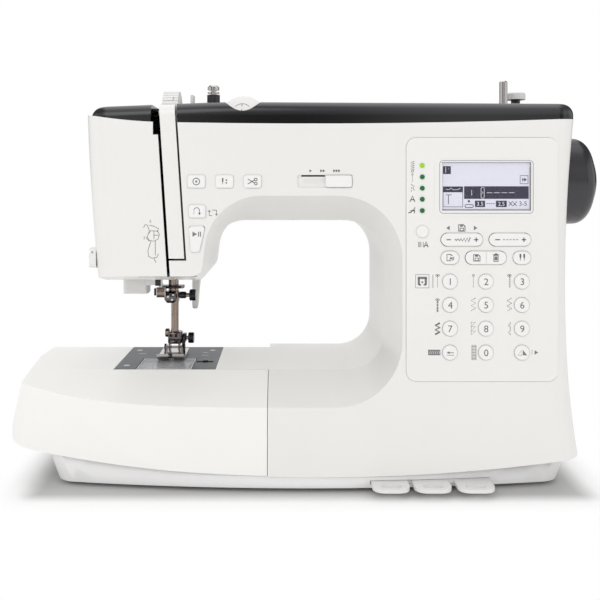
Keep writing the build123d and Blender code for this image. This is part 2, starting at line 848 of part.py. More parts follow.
# name -> middle (X, Z), size, for the oblong keys on the panel
oblong_keys = {
    "edit_button": ((key_columns[0], edit_row), (12.4, 9.0)),
    "twin_needle_button": ((key_columns[2], edit_row), (12.1, 9.0)),
}
rockers = {
    "width_rocker": ((99.2, rocker_row), rocker_size),
    "length_rocker": ((132.3, rocker_row), rocker_size),
    "memory_rocker": ((key_columns[1], edit_row), (28.2, 9.0)),
}
key_names = (
    ("key_1", "key_2", "key_3"),
    ("key_4", "key_5", "key_6"),
    ("key_7", "key_8", "key_9"),
    ("key_enter", "key_0", "key_mirror"),
)
round_keys = {
    name: ((x, z), key_radius)
    for z, row in zip(key_rows, key_names)
    for x, name in zip(key_columns, row)
}
round_keys["mode_button"] = (mode_place, mode_radius)


def upright_box(x, z, y):
    """Box behind the panel, given by its spans across, up and in depth."""
    return block(x, y, z)


with BuildPart() as panel_plate:
    with BuildSketch(front_plane(panel_face)):
        with Locations(panel_middle):
            panel_outline(0)
    extrude(amount=-panel_thick)
    with BuildSketch(front_plane(panel_face)):
        with Locations(((bezel[0] + bezel[1]) / 2, (bezel[2] + bezel[3]) / 2)):
            RectangleRounded(bezel[1] - bezel[0], bezel[3] - bezel[2], 2.5)
    extrude(amount=bezel_proud)
    add(upright_box(glass[:2], glass[2:], (-far, glass_thick + panel_face - bezel_proud)), mode=Mode.SUBTRACT)
    add(
        upright_box((glass[0] + 1.5, glass[1] - 1.5), (glass[2] + 1.5, glass[3] - 1.5), (-far, 0)),
        mode=Mode.SUBTRACT,
    )
    with BuildSketch(front_plane(panel_face)):
        for middle, radius in round_keys.values():
            with Locations(middle):
                Circle(radius + clear)
        for middle, size in oblong_keys.values():
            with Locations(middle):
                RectangleRounded(size[0] + 2 * clear, size[1] + 2 * clear, button_corner + clear)
        for middle, size in rockers.values():
            with Locations(middle):
                RectangleRounded(size[0] + 2 * rocker_room, size[1] + 2 * clear, button_corner + clear)
        for z in lamp_heights:
            with Locations((lamp_x, z)):
                Circle(lamp_radius + play)
    extrude(amount=-panel_thick, mode=Mode.SUBTRACT)
    # pegs that hold the board, and ears for the rockers' pins
    for x in (panel_left + board_inset + 3, panel_right - board_inset - 3):
        for z in (panel_low + board_inset + 2.5, panel_high - board_inset - 2.5):
            add(rod("Y", (x, z), 2, panel_back, board_front))
    for middle, size in rockers.values():
        for side in (-1, 1):
            ear = middle[1] + side * (size[1] / 2 + 1.6)
            add(block((middle[0] - 2.2, middle[0] + 2.2), (panel_back, rocker_axis_y + 2.2), (ear - 1, ear + 1)))
        pin_room = rod("Z", (middle[0], rocker_axis_y), 1 + play, middle[1] - 9, middle[1] + 9)
        add(pin_room, mode=Mode.SUBTRACT)

display_glass = upright_box(
    glass[:2], glass[2:], (panel_face - bezel_proud, panel_face - bezel_proud + glass_thick)
)

with BuildPart() as control_board:
    add(
        upright_box(
            (panel_left + board_inset, panel_right - board_inset),
            (panel_low + board_inset, panel_high - board_inset),
            (board_front, board_front + board_thick),
        )
    )
    add(upright_box((glass[0] - 2, glass[1] + 2), (glass[2] - 2, glass[3] + 1), (panel_back + 2, board_front)))
    for z in lamp_heights:
        add(rod("Y", (lamp_x, z), lamp_radius, panel_face - 0.6, board_front))

head_board_front = -51.0
head_board_back = head_board_front + board_thick
head_board = block((-90.0, -36.0), (head_board_front, head_board_back), (205.0, 218.0)) + block(
    (-90.0, -82.6), (head_board_front, head_board_back), (165.0, 206.0)
)


def push_button(outline, size, middle, back, stop):
    """A cap through the face, a flange behind it and a stem; outline draws the cap's shape."""
    cap_face = back[0] - key_proud
    with BuildPart() as key:
        with BuildSketch(front_plane(cap_face)):
            with Locations(middle):
                outline()
        extrude(amount=-(back[1] - cap_face + 1.2))
        chamfer(key.faces().sort_by(Axis.Y)[0].edges(), 0.45)
        with BuildSketch(front_plane(back[1] + 0.1)):
            with Locations(middle):
                Rectangle(size[0] + 2 * key_flange, size[1])
        extrude(amount=-1.1)
        add(rod("Y", middle, 1.5, back[1] + 1, stop - key_travel - rest_gap))
    return key.part


def round_key(middle, radius):
    size = (2 * radius, radius)
    return push_button(lambda: Circle(radius), size, middle, (panel_face, panel_back), board_front)


def oblong_key(middle, size, back, stop):
    def shape():
        RectangleRounded(*size, button_corner)

    return push_button(shape, (size[0], size[1] - 2), middle, back, stop)


def rocker(middle, size):
    """A long key that tips about an upright pin behind its middle."""
    cap_face = panel_face - key_proud
    with BuildPart() as key:
        with BuildSketch(front_plane(cap_face)):
            with Locations(middle):
                RectangleRounded(*size, button_corner)
        extrude(amount=cap_face - panel_back)
        chamfer(key.faces().sort_by(Axis.Y)[0].edges(), 0.45)
        add(block((middle[0] - 2, middle[0] + 2), (panel_back - 1, rocker_axis_y), (middle[1] - 4, middle[1] + 4)))
        add(rod("Z", (middle[0], rocker_axis_y), 1, middle[1] - 7, middle[1] + 7))
    return key.part


keys = {name: round_key(*place) for name, place in round_keys.items()}
for name, (middle, size) in oblong_keys.items():
    keys[name] = oblong_key(middle, size, (panel_face, panel_back), board_front)
for name, (middle, size) in rockers.items():
    keys[name] = rocker(middle, size)
head_skin = (front_face, front_face + wall)
for name, (middle, size) in head_buttons.items():
    keys[name] = oblong_key(middle, size, head_skin, head_board_front)

with BuildPart() as start_stop_button:
    with BuildSketch(front_plane(front_face - key_proud)):
        add(start_shape(0))
    extrude(amount=-(key_proud + wall + 1.2))
    chamfer(start_stop_button.faces().sort_by(Axis.Y)[0].edges(), 0.45)
    add(rod("Y", (-84.5, 175), 1.5, front_face + wall, head_board_front - key_travel - rest_gap))

# ---- Speed slider -------------------------------------------------------------------------
slider_knob = 18.2
slider_head = 0.5  # gap of the knob to the ends of its bed
slider_x = slider_right - slider_head - slider_knob / 2

with BuildPart() as speed_slider:
    with BuildSketch(front_plane(front_face - 1.8)):
        with Locations((slider_x, slider_middle[1])):
            RectangleRounded(slider_knob, slider_high - slider_low - 2 * clear, 1.5)
    extrude(amount=-(1.8 + slider_sink - rest_gap))
    fillet(speed_slider.faces().sort_by(Axis.Y)[0].edges(), 0.7)
    add(
        block(
            (slider_x + 2.5, slider_x + 4.5),
            (front_face, front_face + wall + 2),
            (slider_middle[1] - 1, slider_middle[1] + 1),
        )
    )
    add(
        block(
            (slider_x + 1, slider_x + 6),
            (front_face + wall + rest_gap, front_face + wall + 2),
            (slider_middle[1] - 3.5, slider_middle[1] + 3.5),
        )
    )

# ---- Shafts, belts and motor --------------------------------------------------------------
shaft_radius = 4.0
crank_radius = 15.0  # half the needle's stroke
crank_disc = (-102.4, -98.4)
crank_pin_radius = 2.0
crank_top = wheel_axis[1] + crank_radius
link_span = (-106.6, -104.6)
link_length = 30.0
link_eye = 4.0
belt_left = 128.5
belt_width = 7.0
belt_spacing = 5.0
belt_thick = 2.0
belt_span = (belt_left, belt_left + belt_width)
motor_belt_span = (belt_span[1] + belt_spacing, belt_span[1] + belt_spacing + belt_width)
bearing_gap = 6.5  # from the motor belt to the shaft's last bearing
bearing_width = 11.0
end_bearing = (motor_belt_span[1] + bearing_gap, motor_belt_span[1] + bearing_gap + bearing_width)
lower_bearing = (belt_span[1] + 12.5, belt_span[1] + 19.5)
pulley_radius = 14.0
drive_pulley_radius = 18.0
motor_pulley_radius = 8.0
lower_axis = (needle_y, 44.0)
lower_radius = 3.5
motor_axis = (-16.0, 112.0)
motor_radius = 20.0
wheel_back = 180.5
wheel_radius = 34.0
shaft_end = 199.0

with BuildPart() as main_shaft:
    add(rod("X", wheel_axis, shaft_radius, crank_disc[0], shaft_end))
    add(rod("X", wheel_axis, crank_radius + 2.5, *crank_disc))
    add(rod("X", (needle_y, crank_top), crank_pin_radius, link_span[0] - 0.6, crank_disc[0]))
    # the disc is cut away beside the pin, which leaves the counterweight opposite it
    for side in (-1, 1):
        cut_y = needle_y + side * (crank_radius + 3)
        add(rod("X", (cut_y, wheel_axis[1] + 11), 10, *crank_disc), mode=Mode.SUBTRACT)
    add(rod("X", wheel_axis, pulley_radius, *belt_span))
    add(rod("X", wheel_axis, drive_pulley_radius, *motor_belt_span))

with BuildPart() as needle_bar_link:
    with BuildSketch(side_plane(link_span[0])):
        with Locations((needle_y, crank_top), (needle_y, crank_top - link_length)):
            Circle(link_eye)
        with Locations((needle_y, crank_top - link_length / 2)):
            Rectangle(4, link_length)
        with Locations((needle_y, crank_top), (needle_y, crank_top - link_length)):
            Circle(crank_pin_radius + play, mode=Mode.SUBTRACT)
    extrude(amount=link_span[1] - link_span[0])

wheel_shoulder = 202.0  # where its rim begins to round off
crown_edge = 212.3  # station and radius where its domed end begins
crown_rim = wheel_radius - 9.0
crown_sphere = (crown_rim**2 + (right_end - crown_edge) ** 2) / (2 * (right_end - crown_edge))
crown_centre = right_end - crown_sphere
crown_bulge = sqrt(crown_sphere**2 - (crown_rim / 2) ** 2)

with BuildPart() as handwheel:
    with BuildSketch(Plane.XY):
        with BuildLine():
            Polyline(
                (wheel_back - 8, shaft_radius + play), (wheel_back - 8, wheel_hub_radius),
                (wheel_back, wheel_hub_radius), (wheel_back, wheel_radius - 2), (wheel_back + 2, wheel_radius),
                (wheel_shoulder, wheel_radius - 0.6),
            )
            shoulder = ThreePointArc(
                (wheel_shoulder, wheel_radius - 0.6), (209.2, wheel_radius - 3.4), (crown_edge, crown_rim)
            )
            crown = ThreePointArc(shoulder @ 1, (crown_centre + crown_bulge, crown_rim / 2), (right_end, 0))
            Polyline(crown @ 1, (shaft_end + clear, 0), (shaft_end + clear, shaft_radius + play),
                     (wheel_back - 8, shaft_radius + play))
        make_face()
    revolve(axis=Axis.X)
handwheel_part = Location((0, *wheel_axis)) * handwheel.part

hook_gear_radius = 8.4
lower_gear_radius = needle_y - bobbin_axis[1] - hook_gear_radius
gear_gap = 0.3
hook_gear = (40.0, 48.0)
cup_low = 57.5
cup_high = 70.5
cup_radius = 17.5
cup_wall = 1.6

with BuildPart() as lower_shaft:
    add(rod("X", lower_axis, lower_radius, bobbin_axis[0] - 8, lower_bearing[1] + 1))
    add(rod("X", lower_axis, lower_gear_radius - gear_gap, bobbin_axis[0] - 4, bobbin_axis[0] + 4))
    add(rod("X", lower_axis, pulley_radius, *belt_span))

with BuildPart() as rotary_hook:
    add(rod("Z", bobbin_axis, cup_radius, cup_low, cup_high))
    add(rod("Z", bobbin_axis, cup_radius - cup_wall, cup_low + cup_wall, cup_high), mode=Mode.SUBTRACT)
    add(rod("Z", bobbin_axis, shaft_radius, hook_gear[0], cup_low))
    add(rod("Z", bobbin_axis, hook_gear_radius, *hook_gear))
    # the gap in the rim beside the hook's point
    point = block(
        (bobbin_axis[0] - 2, bobbin_axis[0] + 10), (bobbin_axis[1] + 10, bobbin_axis[1] + 25), (cup_low + 6, 90)
    )
    add(point, mode=Mode.SUBTRACT)

bobbin_radius = 10.3
bobbin_height = 11.5
case_floor = cup_low + cup_wall + clear
case_top = 71.6
case_wall = 1.2
bobbin_floor = case_floor + case_wall + clear

with BuildPart() as bobbin_case:
    case_radius = cup_radius - cup_wall - clear
    add(rod("Z", bobbin_axis, case_radius, case_floor, case_top))
    add(rod("Z", bobbin_axis, bobbin_radius + 1.2, case_floor + case_wall, case_top), mode=Mode.SUBTRACT)

with BuildPart() as bobbin:
    add(rod("Z", bobbin_axis, bobbin_radius, bobbin_floor, bobbin_floor + bobbin_height - 0.4))
    with BuildSketch(Plane.XZ):
        with Locations((bobbin_radius, bobbin_floor + bobbin_height / 2)):
            Rectangle(2 * (bobbin_radius - 5), bobbin_height - 2.6)
    winding_room = revolve(axis=Axis.Z, mode=Mode.PRIVATE)
    add(Location((*bobbin_axis, 0)) * winding_room, mode=Mode.SUBTRACT)
    add(rod("Z", bobbin_axis, 3.05, 0, 90), mode=Mode.SUBTRACT)

with BuildPart() as motor_pulley:
    add(rod("X", motor_axis, 3, belt_left - 6.5, motor_belt_span[1] + 2.5))
    add(rod("X", motor_axis, motor_pulley_radius, *motor_belt_span))

with BuildPart() as drive_motor:
    motor_end = belt_left - 8.5
    add(rod("X", motor_axis, motor_radius, motor_end - 52, motor_end))
    chamfer(drive_motor.edges().filter_by(GeomType.CIRCLE), 2)
    add(rod("X", motor_axis, 7, motor_end, motor_end + 4))
    add(rod("X", motor_axis, 3 + play, motor_end + 1, motor_end + 10), mode=Mode.SUBTRACT)


def belt(top, top_radius, bottom, bottom_radius, stations):
    """A closed belt round two pulleys; it stays a running gap off both."""
    with BuildPart() as loop:
        for grow, mode in ((belt_thick + gear_gap, Mode.ADD), (gear_gap, Mode.SUBTRACT)):
            with BuildSketch(side_plane(stations[0])):
                with BuildLine():
                    CenterArc(top, top_radius + grow, 0, 360)
                    CenterArc(bottom, bottom_radius + grow, 0, 360)
                make_hull()
            extrude(amount=stations[1] - stations[0], mode=mode)
    return loop.part


timing_belt = belt(wheel_axis, pulley_radius, lower_axis, pulley_radius, belt_span)
motor_belt = belt(wheel_axis, drive_pulley_radius, motor_axis, motor_pulley_radius, motor_belt_span)

# ---- Bars of the head ---------------------------------------------------------------------
bar_radius = 3.25
bar_top = 248.0
clamp_span = (119.0, 127.0)
clamp_screw_z = 124.0
needle_tip = 90.0
needle_shank = 108.0
bar_block = (crank_top - link_length - 4.5, crank_top - link_length + 4.5)
presser_y = 33.5
presser_radius = 3.0
presser_foot_top = 84.0
presser_top = 232.0
holder_screw_z = 88.0
foot_pin_z = 80.5
foot_floor = bed_top + rest_gap + 0.2
lifter_axis = (56.0, 152.0)
lifter_lobe = 6.0

with BuildPart() as bar_and_clamp:
    add(rod("Z", (needle_x, needle_y), bar_radius, clamp_span[0] + 2, bar_top))
    add(block((needle_x - 4.5, needle_x + 3.1), (needle_y - 5, needle_y + 5), bar_block))
    with BuildSketch(level_plane(clamp_span[0])):
        with Locations((needle_x + 0.5, needle_y)):
            RectangleRounded(9, 9.5, 2)
    extrude(amount=clamp_span[1] - clamp_span[0])
    # thumb screw
    add(rod("X", (needle_y, clamp_screw_z), 1.5, needle_x + 4, needle_x + 14))
    add(rod("X", (needle_y, clamp_screw_z), 4, needle_x + 13.5, needle_x + 18))
    # thread guide above the clamp
    add(block((needle_x - 10, needle_x + 9), (needle_y - 6, needle_y + 4), (130, 131.5)))

with BuildPart() as needle:
    with BuildSketch(Plane.XZ):
        with BuildLine():
            Polyline(
                (0, needle_tip), (0.5, needle_tip + 3), (0.5, needle_shank), (1.0, needle_shank + 2),
                (1.0, clamp_span[0]), (0, clamp_span[0]), close=True,
            )
        make_face()
    revolve(axis=Axis.Z)
needle_part = Location((needle_x, needle_y, 0)) * needle.part

with BuildPart() as presser_bar:
    add(rod("Z", (needle_x, presser_y), presser_radius, presser_foot_top, presser_top))
    # arm that the lifter's cam raises
    add(block((needle_x - 4, lifter_x + 3), (presser_y - 4, presser_y + 4), (160, 163)))
    add(block((lifter_x - 4, lifter_x + 3), (presser_y - 4, lifter_axis[0] + 8), (160, 163)))
    # foot holder: clamp, screw and the fork that carries the foot's pin
    add(block((needle_x - 4.5, needle_x + 5.5), (presser_y - 4.5, presser_y + 4.5), (presser_foot_top, 93)))
    add(rod("X", (presser_y, holder_screw_z), 1.5, needle_x + 5, needle_x + 12))
    add(rod("X", (presser_y, holder_screw_z), 3.8, needle_x + 11, needle_x + 15))
    for side in (-1, 1):
        cheek = needle_x + side * 3.8
        add(block((cheek - 0.7, cheek + 0.7), (presser_y - 4, presser_y + 3), (foot_pin_z - 2.2, presser_foot_top)))
    add(rod("X", (presser_y, foot_pin_z), 1 + play, needle_x - 10, needle_x + 10), mode=Mode.SUBTRACT)

with BuildPart() as presser_foot:
    with BuildSketch(side_plane(needle_x - 10.5)):
        with BuildLine():
            Polyline(
                (presser_y - 28, foot_floor + 3.5), (presser_y - 22, foot_floor), (presser_y + 3, foot_floor),
                (presser_y + 9, foot_floor + 1.6), (presser_y + 9, foot_floor + 3), (presser_y - 21, foot_floor + 2),
                (presser_y - 27, foot_floor + 5.2), close=True,
            )
        make_face()
    extrude(amount=21)
    # needle slot, and the gap between the toes
    add(block((needle_x - 3.5, needle_x + 3.5), (needle_y - 1.6, needle_y + 1.6), (60, 90)), mode=Mode.SUBTRACT)
    add(block((needle_x - 1.6, needle_x + 1.6), (-40, needle_y), (60, 90)), mode=Mode.SUBTRACT)
    for side in (-1, 1):
        ear = needle_x + side * 6.2
        add(block((ear - 0.8, ear + 0.8), (presser_y - 3.5, presser_y + 3), (foot_floor + 1, foot_pin_z + 2)))
    add(rod("X", (presser_y, foot_pin_z), 1, needle_x - 6.5, needle_x + 6.5))

with BuildPart() as presser_lever:
    hub = (lifter_x - lifter_width / 2, lifter_x + lifter_width / 2)
    add(rod("X", lifter_axis, 6, hub[0] - 1.5, hub[1]))
    add(rod("X", (lifter_axis[0] + lifter_lobe, lifter_axis[1]), 6, hub[0] - 1.5, hub[0] + 3))
    with BuildSketch(side_plane(hub[0])):
        with BuildLine():
            FilletPolyline(
                (lifter_axis[0] - 4, lifter_axis[1]), (lifter_axis[0] + 6, 106), (lifter_axis[0] + 12, 107),
                (lifter_axis[0] + 4, lifter_axis[1]), radius=[0, 2.5, 2.5, 0], close=True,
            )
        make_face()
    extrude(amount=lifter_width)
    add(rod("X", lifter_axis, 2 + play, -far, far), mode=Mode.SUBTRACT)

threader_axis = (-134.0, needle_y)
threader_block = (126.5, 143.0)

with BuildPart() as needle_threader:
    add(rod("Z", threader_axis, 3, 140, 236))
    with BuildSketch(level_plane(threader_block[0])):
        with Locations((threader_axis[0] - 4, 17)):
            RectangleRounded(19, 18, 3)
    extrude(amount=threader_block[1] - threader_block[0])
    # arm to the needle, with the sleeve that carries the threading hook
    add(block((threader_axis[0], needle_x - 7), (8.5, 12.5), (133, 138)))
    add(block((needle_x - 11, needle_x - 4), (7, 13), (124, 131)))
    add(block((needle_x - 9, needle_x - 6.5), (8.5, 12.5), (130, 134)))

lever_pivot = (4.0, 234.0)
lever_tip = (-44.0, 261.0)
lever_thick = 2.2

with BuildPart() as take_up_lever:
    lean = degrees(atan2(lever_tip[1] - lever_pivot[1], lever_tip[0] - lever_pivot[0]))
    reach = sqrt((lever_tip[0] - lever_pivot[0]) ** 2 + (lever_tip[1] - lever_pivot[1]) ** 2)
    with BuildSketch(side_plane(needle_x - lever_thick / 2)):
        with Locations(lever_pivot):
            Circle(5)
        with Locations(lever_tip):
            Circle(3.6)
        with Locations(Location(((lever_pivot[0] + lever_tip[0]) / 2, (lever_pivot[1] + lever_tip[1]) / 2, 0), lean)):
            Rectangle(reach, 5)
        with Locations(lever_pivot):
            Circle(2 + play, mode=Mode.SUBTRACT)
        with Locations(lever_tip):
            Circle(1.4, mode=Mode.SUBTRACT)
    extrude(amount=lever_thick)

# ---- Main frame ---------------------------------------------------------------------------
frame_face = (42.0, 50.0)
frame_left = -122.0
frame_right = end_bearing[1] + 3.0
bracket_right = needle_x + 2.9  # brackets of the bars stop short of the link's plane

with BuildPart() as main_frame:
    with BuildSketch(front_plane(frame_face[1])):
        with BuildLine():
            FilletPolyline(
                (frame_left, 250), (frame_left, 150), (-106.8, 150), (-106.8, 192), (60, 192), (60, 64),
                (-138, 64), (-138, 33), (frame_right, 33), (frame_right, 250),
                radius=[4, 2, 2, 6, 12, 12, 2, 2, 4, 4], close=True,
            )
        make_face()
    extrude(amount=frame_face[1] - frame_face[0])
    front = frame_face[0]
    # brackets with the bearings of the main shaft and the lower shaft
    for x in ((-92, -82), (58, 70), end_bearing):
        add(block(x, (needle_y - 8, front), (wheel_axis[1] - 8, wheel_axis[1] + 8)))
    for x in ((-100, -92), (58, 68), lower_bearing):
        add(block(x, (needle_y - 7.5, front), (lower_axis[1] - 7, lower_axis[1] + 7)))
    # guides of the needle bar, presser bar and threader
    for z in ((152.5, 158.5), (206, 213)):
        add(block((threader_axis[0] - 5, bracket_right), (needle_y - 6, front), z))
    # arm with the take-up lever's pin, and the tension dial's arm
    add(block((frame_left, needle_x - 3.8), (lever_pivot[0] - 4, front), (230, 238)))
    add(rod("X", lever_pivot, 2, needle_x - 4, needle_x + 3))
    dial_arm = (dial_x + dial_width / 2 + dial_room, -91)
    dial_arm_top = dial_centre[1] + 2.5
    add(block(dial_arm, (dial_centre[0] - 4, front), (251, dial_arm_top)))
    add(block(dial_arm, (front - 0.1, frame_face[1]), (240, dial_arm_top)))
    add(rod("X", dial_centre, 2.9, dial_x - dial_width / 2, -91))
    # carrier of the hook's shaft, open over the gear
    add(block((bobbin_axis[0] - 14, bobbin_axis[0] - 7), (bobbin_axis[1] - 8, front), (49, 56.5)))
    add(block((bobbin_axis[0] + 7, bobbin_axis[0] + 14), (bobbin_axis[1] - 8, front), (49, 56.5)))
    add(block((bobbin_axis[0] - 8, bobbin_axis[0] + 8), (bobbin_axis[1] - 8, bobbin_axis[1] + 6), (49, 56.5)))
    # lug with the presser lever's pin
    add(block((hub[0] - 8, hub[0] - 3), (front, lifter_axis[0] + 5), (146, 158)))
    add(block((-106.9, hub[0] - 3), (front, frame_face[1]), (150, 158)))
    add(rod("X", lifter_axis, 2, hub[0] - 4, hub[1] + 1))
    # bores
    add(rod("X", wheel_axis, shaft_radius + play, -98, far), mode=Mode.SUBTRACT)
    add(rod("X", lower_axis, lower_radius + play, -122, frame_right), mode=Mode.SUBTRACT)
    for centre, radius in (
        ((needle_x, needle_y), bar_radius), ((needle_x, presser_y), presser_radius), (threader_axis, 3)
    ):
        add(rod("Z", centre, radius + play, 140, far), mode=Mode.SUBTRACT)
    add(rod("Z", bobbin_axis, shaft_radius + play, 40, 60), mode=Mode.SUBTRACT)

feed_top = 74.3

with BuildPart() as feed_dog:
    add(block((feed_slots[0] - 3, feed_slots[-1] + 3), (feed_low + 2, feed_high - 2), (66, 69)))
    for x in feed_slots:
        with BuildSketch(side_plane(x - 1.2)):
            with BuildLine():
                teeth = 8
                pitch = (feed_high - feed_low - 4) / teeth
                ridge = []
                for tooth in range(teeth):
                    y = feed_low + 2 + tooth * pitch
                    ridge += [(y, feed_top - 1), (y + pitch * 0.8, feed_top)]
                Polyline((feed_low + 2, 68), *ridge, (feed_high - 2, feed_top - 1), (feed_high - 2, 68), close=True)
            make_face()
        extrude(amount=2.4)

# ---- Top fittings -------------------------------------------------------------------------
with BuildPart() as tension_dial:
    with BuildSketch(side_plane(dial_x - dial_width / 2)):
        with Locations(dial_centre):
            Circle(dial_radius)
            with PolarLocations(dial_radius, 36):
                Rectangle(0.9, 1.0, mode=Mode.SUBTRACT)
        with Locations(dial_centre):
            Circle(3, mode=Mode.SUBTRACT)
    extrude(amount=dial_width)

with BuildPart() as pressure_dial:
    with BuildSketch(pressure_plane.offset(-5 + rest_gap)):
        Circle(pressure_radius)
    extrude(amount=7)
    chamfer(pressure_dial.faces().filter_by(GeomType.PLANE).sort_by(SortBy.DISTANCE)[-1].edges(), 1.3)

winder_top = 288.5
spindle_radius = 3.0
spindle_foot = 270.0  # the bobbin sits on this shoulder

with BuildPart() as winder_spindle:
    place = (winder_x, winder_y)
    add(rod("Z", place, spindle_radius + 0.6, 255, spindle_foot))
    add(rod("Z", place, spindle_radius, spindle_foot, winder_top))
    add(rod("Z", place, 9, 257, 262))
    chamfer(winder_spindle.edges().filter_by(GeomType.CIRCLE).sort_by(Axis.Z)[-1:], 0.8)

stop_cap = (275.8, 281.0)
guide_fin_x = -89.0
pretension_place = (-74.0, -34.0)

fin = block((guide_fin_x - 1, guide_fin_x + 1), (-40, -28), (top_cover_top - 3.5, 274.5))
with BuildPart() as pretension:
    lid_at_guide = top_cover_top - 2.2
    add(rod("Z", pretension_place, 4.6, lid_at_guide, 275.0))
    add(rod("Z", pretension_place, 2, 275.0, 279))
    add(rod("Z", pretension_place, 4.2, 276.0, 277.0))
    add(rod("Z", pretension_place, 4.2, 278.5, 281.7))
    chamfer(pretension.edges().filter_by(GeomType.CIRCLE).sort_by(Axis.Z)[-1:], 1.0)
with BuildPart() as winder_stop:
    add(rod("Z", stop_place, 3.4, top_cover_top - 2.2, stop_cap[0]))
    add(rod("Z", stop_place, 7.35, *stop_cap))
    chamfer(winder_stop.edges().filter_by(GeomType.CIRCLE).sort_by(Axis.Z)[-1:], 0.8)

with BuildPart() as spool_pin:
    add(rod("X", (trough_centre[0], spool_z), spool_pin_radius, spool_tip, spool_hinge_x - 3))
    add(
        block(
            (spool_hinge_x - 3, spool_hinge_x + 3),
            (trough_centre[0] - 5, trough_centre[0] + 5),
            (spool_z - 2.6, spool_z + 2.6),
        )
    )
    hinge_ends = (trough_centre[0] - spool_hinge[1], trough_centre[0] + spool_hinge[1])
    add(rod("Y", (spool_hinge_x, spool_z), spool_hinge[0], *hinge_ends))

with BuildPart() as handle:
    low, high = top_cover_top - pan_depth + rest_gap, top_cover_top - 1.2
    add(block((pan_left + 1, pan_right - 1), (handle_bar - 4, handle_bar + 4), (low, high)))
    for x in ((pan_left + 1, pan_left + 9), (pan_right - 9, pan_right - 1)):
        add(block(x, (handle_bar, handle_hinge[0]), (low, high)))
        add(rod("X", handle_hinge, 3.2, *x))
    add(rod("X", handle_hinge, handle_pin[0], pan_left + 1 - handle_pin[1], pan_left + 2))
    add(rod("X", handle_hinge, handle_pin[0], pan_right - 2, pan_right - 1 + handle_pin[1]))
    fillet(handle.edges().filter_by(Axis.X).group_by(Axis.Y)[0], 2.5)

# ---- Reference cards ----------------------------------------------------------------------
card_tabs = (48.5, 76.5, 105.5)
card_front = -82.5
tab_width = 25.0
finger_hole = (14.0, 6.0)

with BuildPart() as stitch_cards:
    with BuildSketch(level_plane(card_low)):
        with Locations(((card_left + card_right) / 2, (card_rear - 63) / 2)):
            Rectangle(card_right - card_left, card_rear + 63)
        for x in card_tabs:
            with Locations((x, (card_front - 58) / 2)):
                RectangleRounded(tab_width, -58 - card_front, 8)
        for x in card_tabs:
            with Locations((x, card_front + 6.5)):
                SlotOverall(*finger_hole, mode=Mode.SUBTRACT)
    extrude(amount=card_thick)

# ---- Nodes --------------------------------------------------------------------------------
nodes = {
    "front_cover": [front_cover.part],
    "rear_cover": [rear_cover.part, sockets.part],
    "face_cover": [face_cover.part],
    "top_cover": [top_cover.part],
    "base_tray": [tray_shell.part, *feet],
    "main_frame": [main_frame.part],
    "needle_plate": [needle_plate.part],
    "bobbin_cover": [bobbin_cover.part],
    "bobbin_latch": [bobbin_latch.part],
    "control_panel": [panel_plate.part, display_glass],
    "control_board": [control_board.part, head_board],
    "drive_motor": [drive_motor.part],
    "motor_pulley": [motor_pulley.part],
    "drive_belts": [timing_belt, motor_belt],
    "handwheel": [handwheel_part],
    "main_shaft": [main_shaft.part],
    "needle_bar_link": [needle_bar_link.part],
    "lower_shaft": [lower_shaft.part],
    "rotary_hook": [rotary_hook.part],
    "bobbin_case": [bobbin_case.part],
    "bobbin": [bobbin.part],
    "feed_dog": [feed_dog.part],
    "needle_bar": [bar_and_clamp.part, needle_part],
    "take_up_lever": [take_up_lever.part],
    "presser_bar": [presser_bar.part],
    "presser_foot": [presser_foot.part],
    "presser_lever": [presser_lever.part],
    "needle_threader": [needle_threader.part],
    "tension_dial": [tension_dial.part],
    "pressure_dial": [pressure_dial.part],
    "winder_spindle": [winder_spindle.part],
    "thread_guides": [piece - lid_form(0) for piece in (fin, pretension.part, winder_stop.part)],
    "spool_pin": [spool_pin.part],
    "handle": [handle.part],
    "extension_table": [extension_table.part],
    "stitch_cards": [stitch_cards.part],
    "speed_slider": [speed_slider.part],
    "start_stop_button": [start_stop_button.part],
}
nodes.update({name: [part] for name, part in keys.items()})

for name, pieces in nodes.items():
    solids = [solid for piece in pieces for solid in piece.solids()]
    node = Compound(label=name, children=solids) if len(solids) > 1 else Part() + solids
    node.label = name
    export_step(node, f"parts/{name}.step")
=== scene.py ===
# %% [markdown]
# # A household sewing machine
# The machine has moulded white covers on a pale tray, with a dark lid and hand wheel, a flat keypad
# panel, a slim display, and bright steel round the needle. Its solids come ready made and placed;
# this lesson gives them their finishes, and adds what is too thin or too small to model as a solid:
# printed symbols, screws, knurls, thread and a lit display.

# %% The frame
from math import cos, pi, radians, sin

import bmesh
import bpy
from mathutils import Matrix, Vector
from mathutils.bvhtree import BVHTree


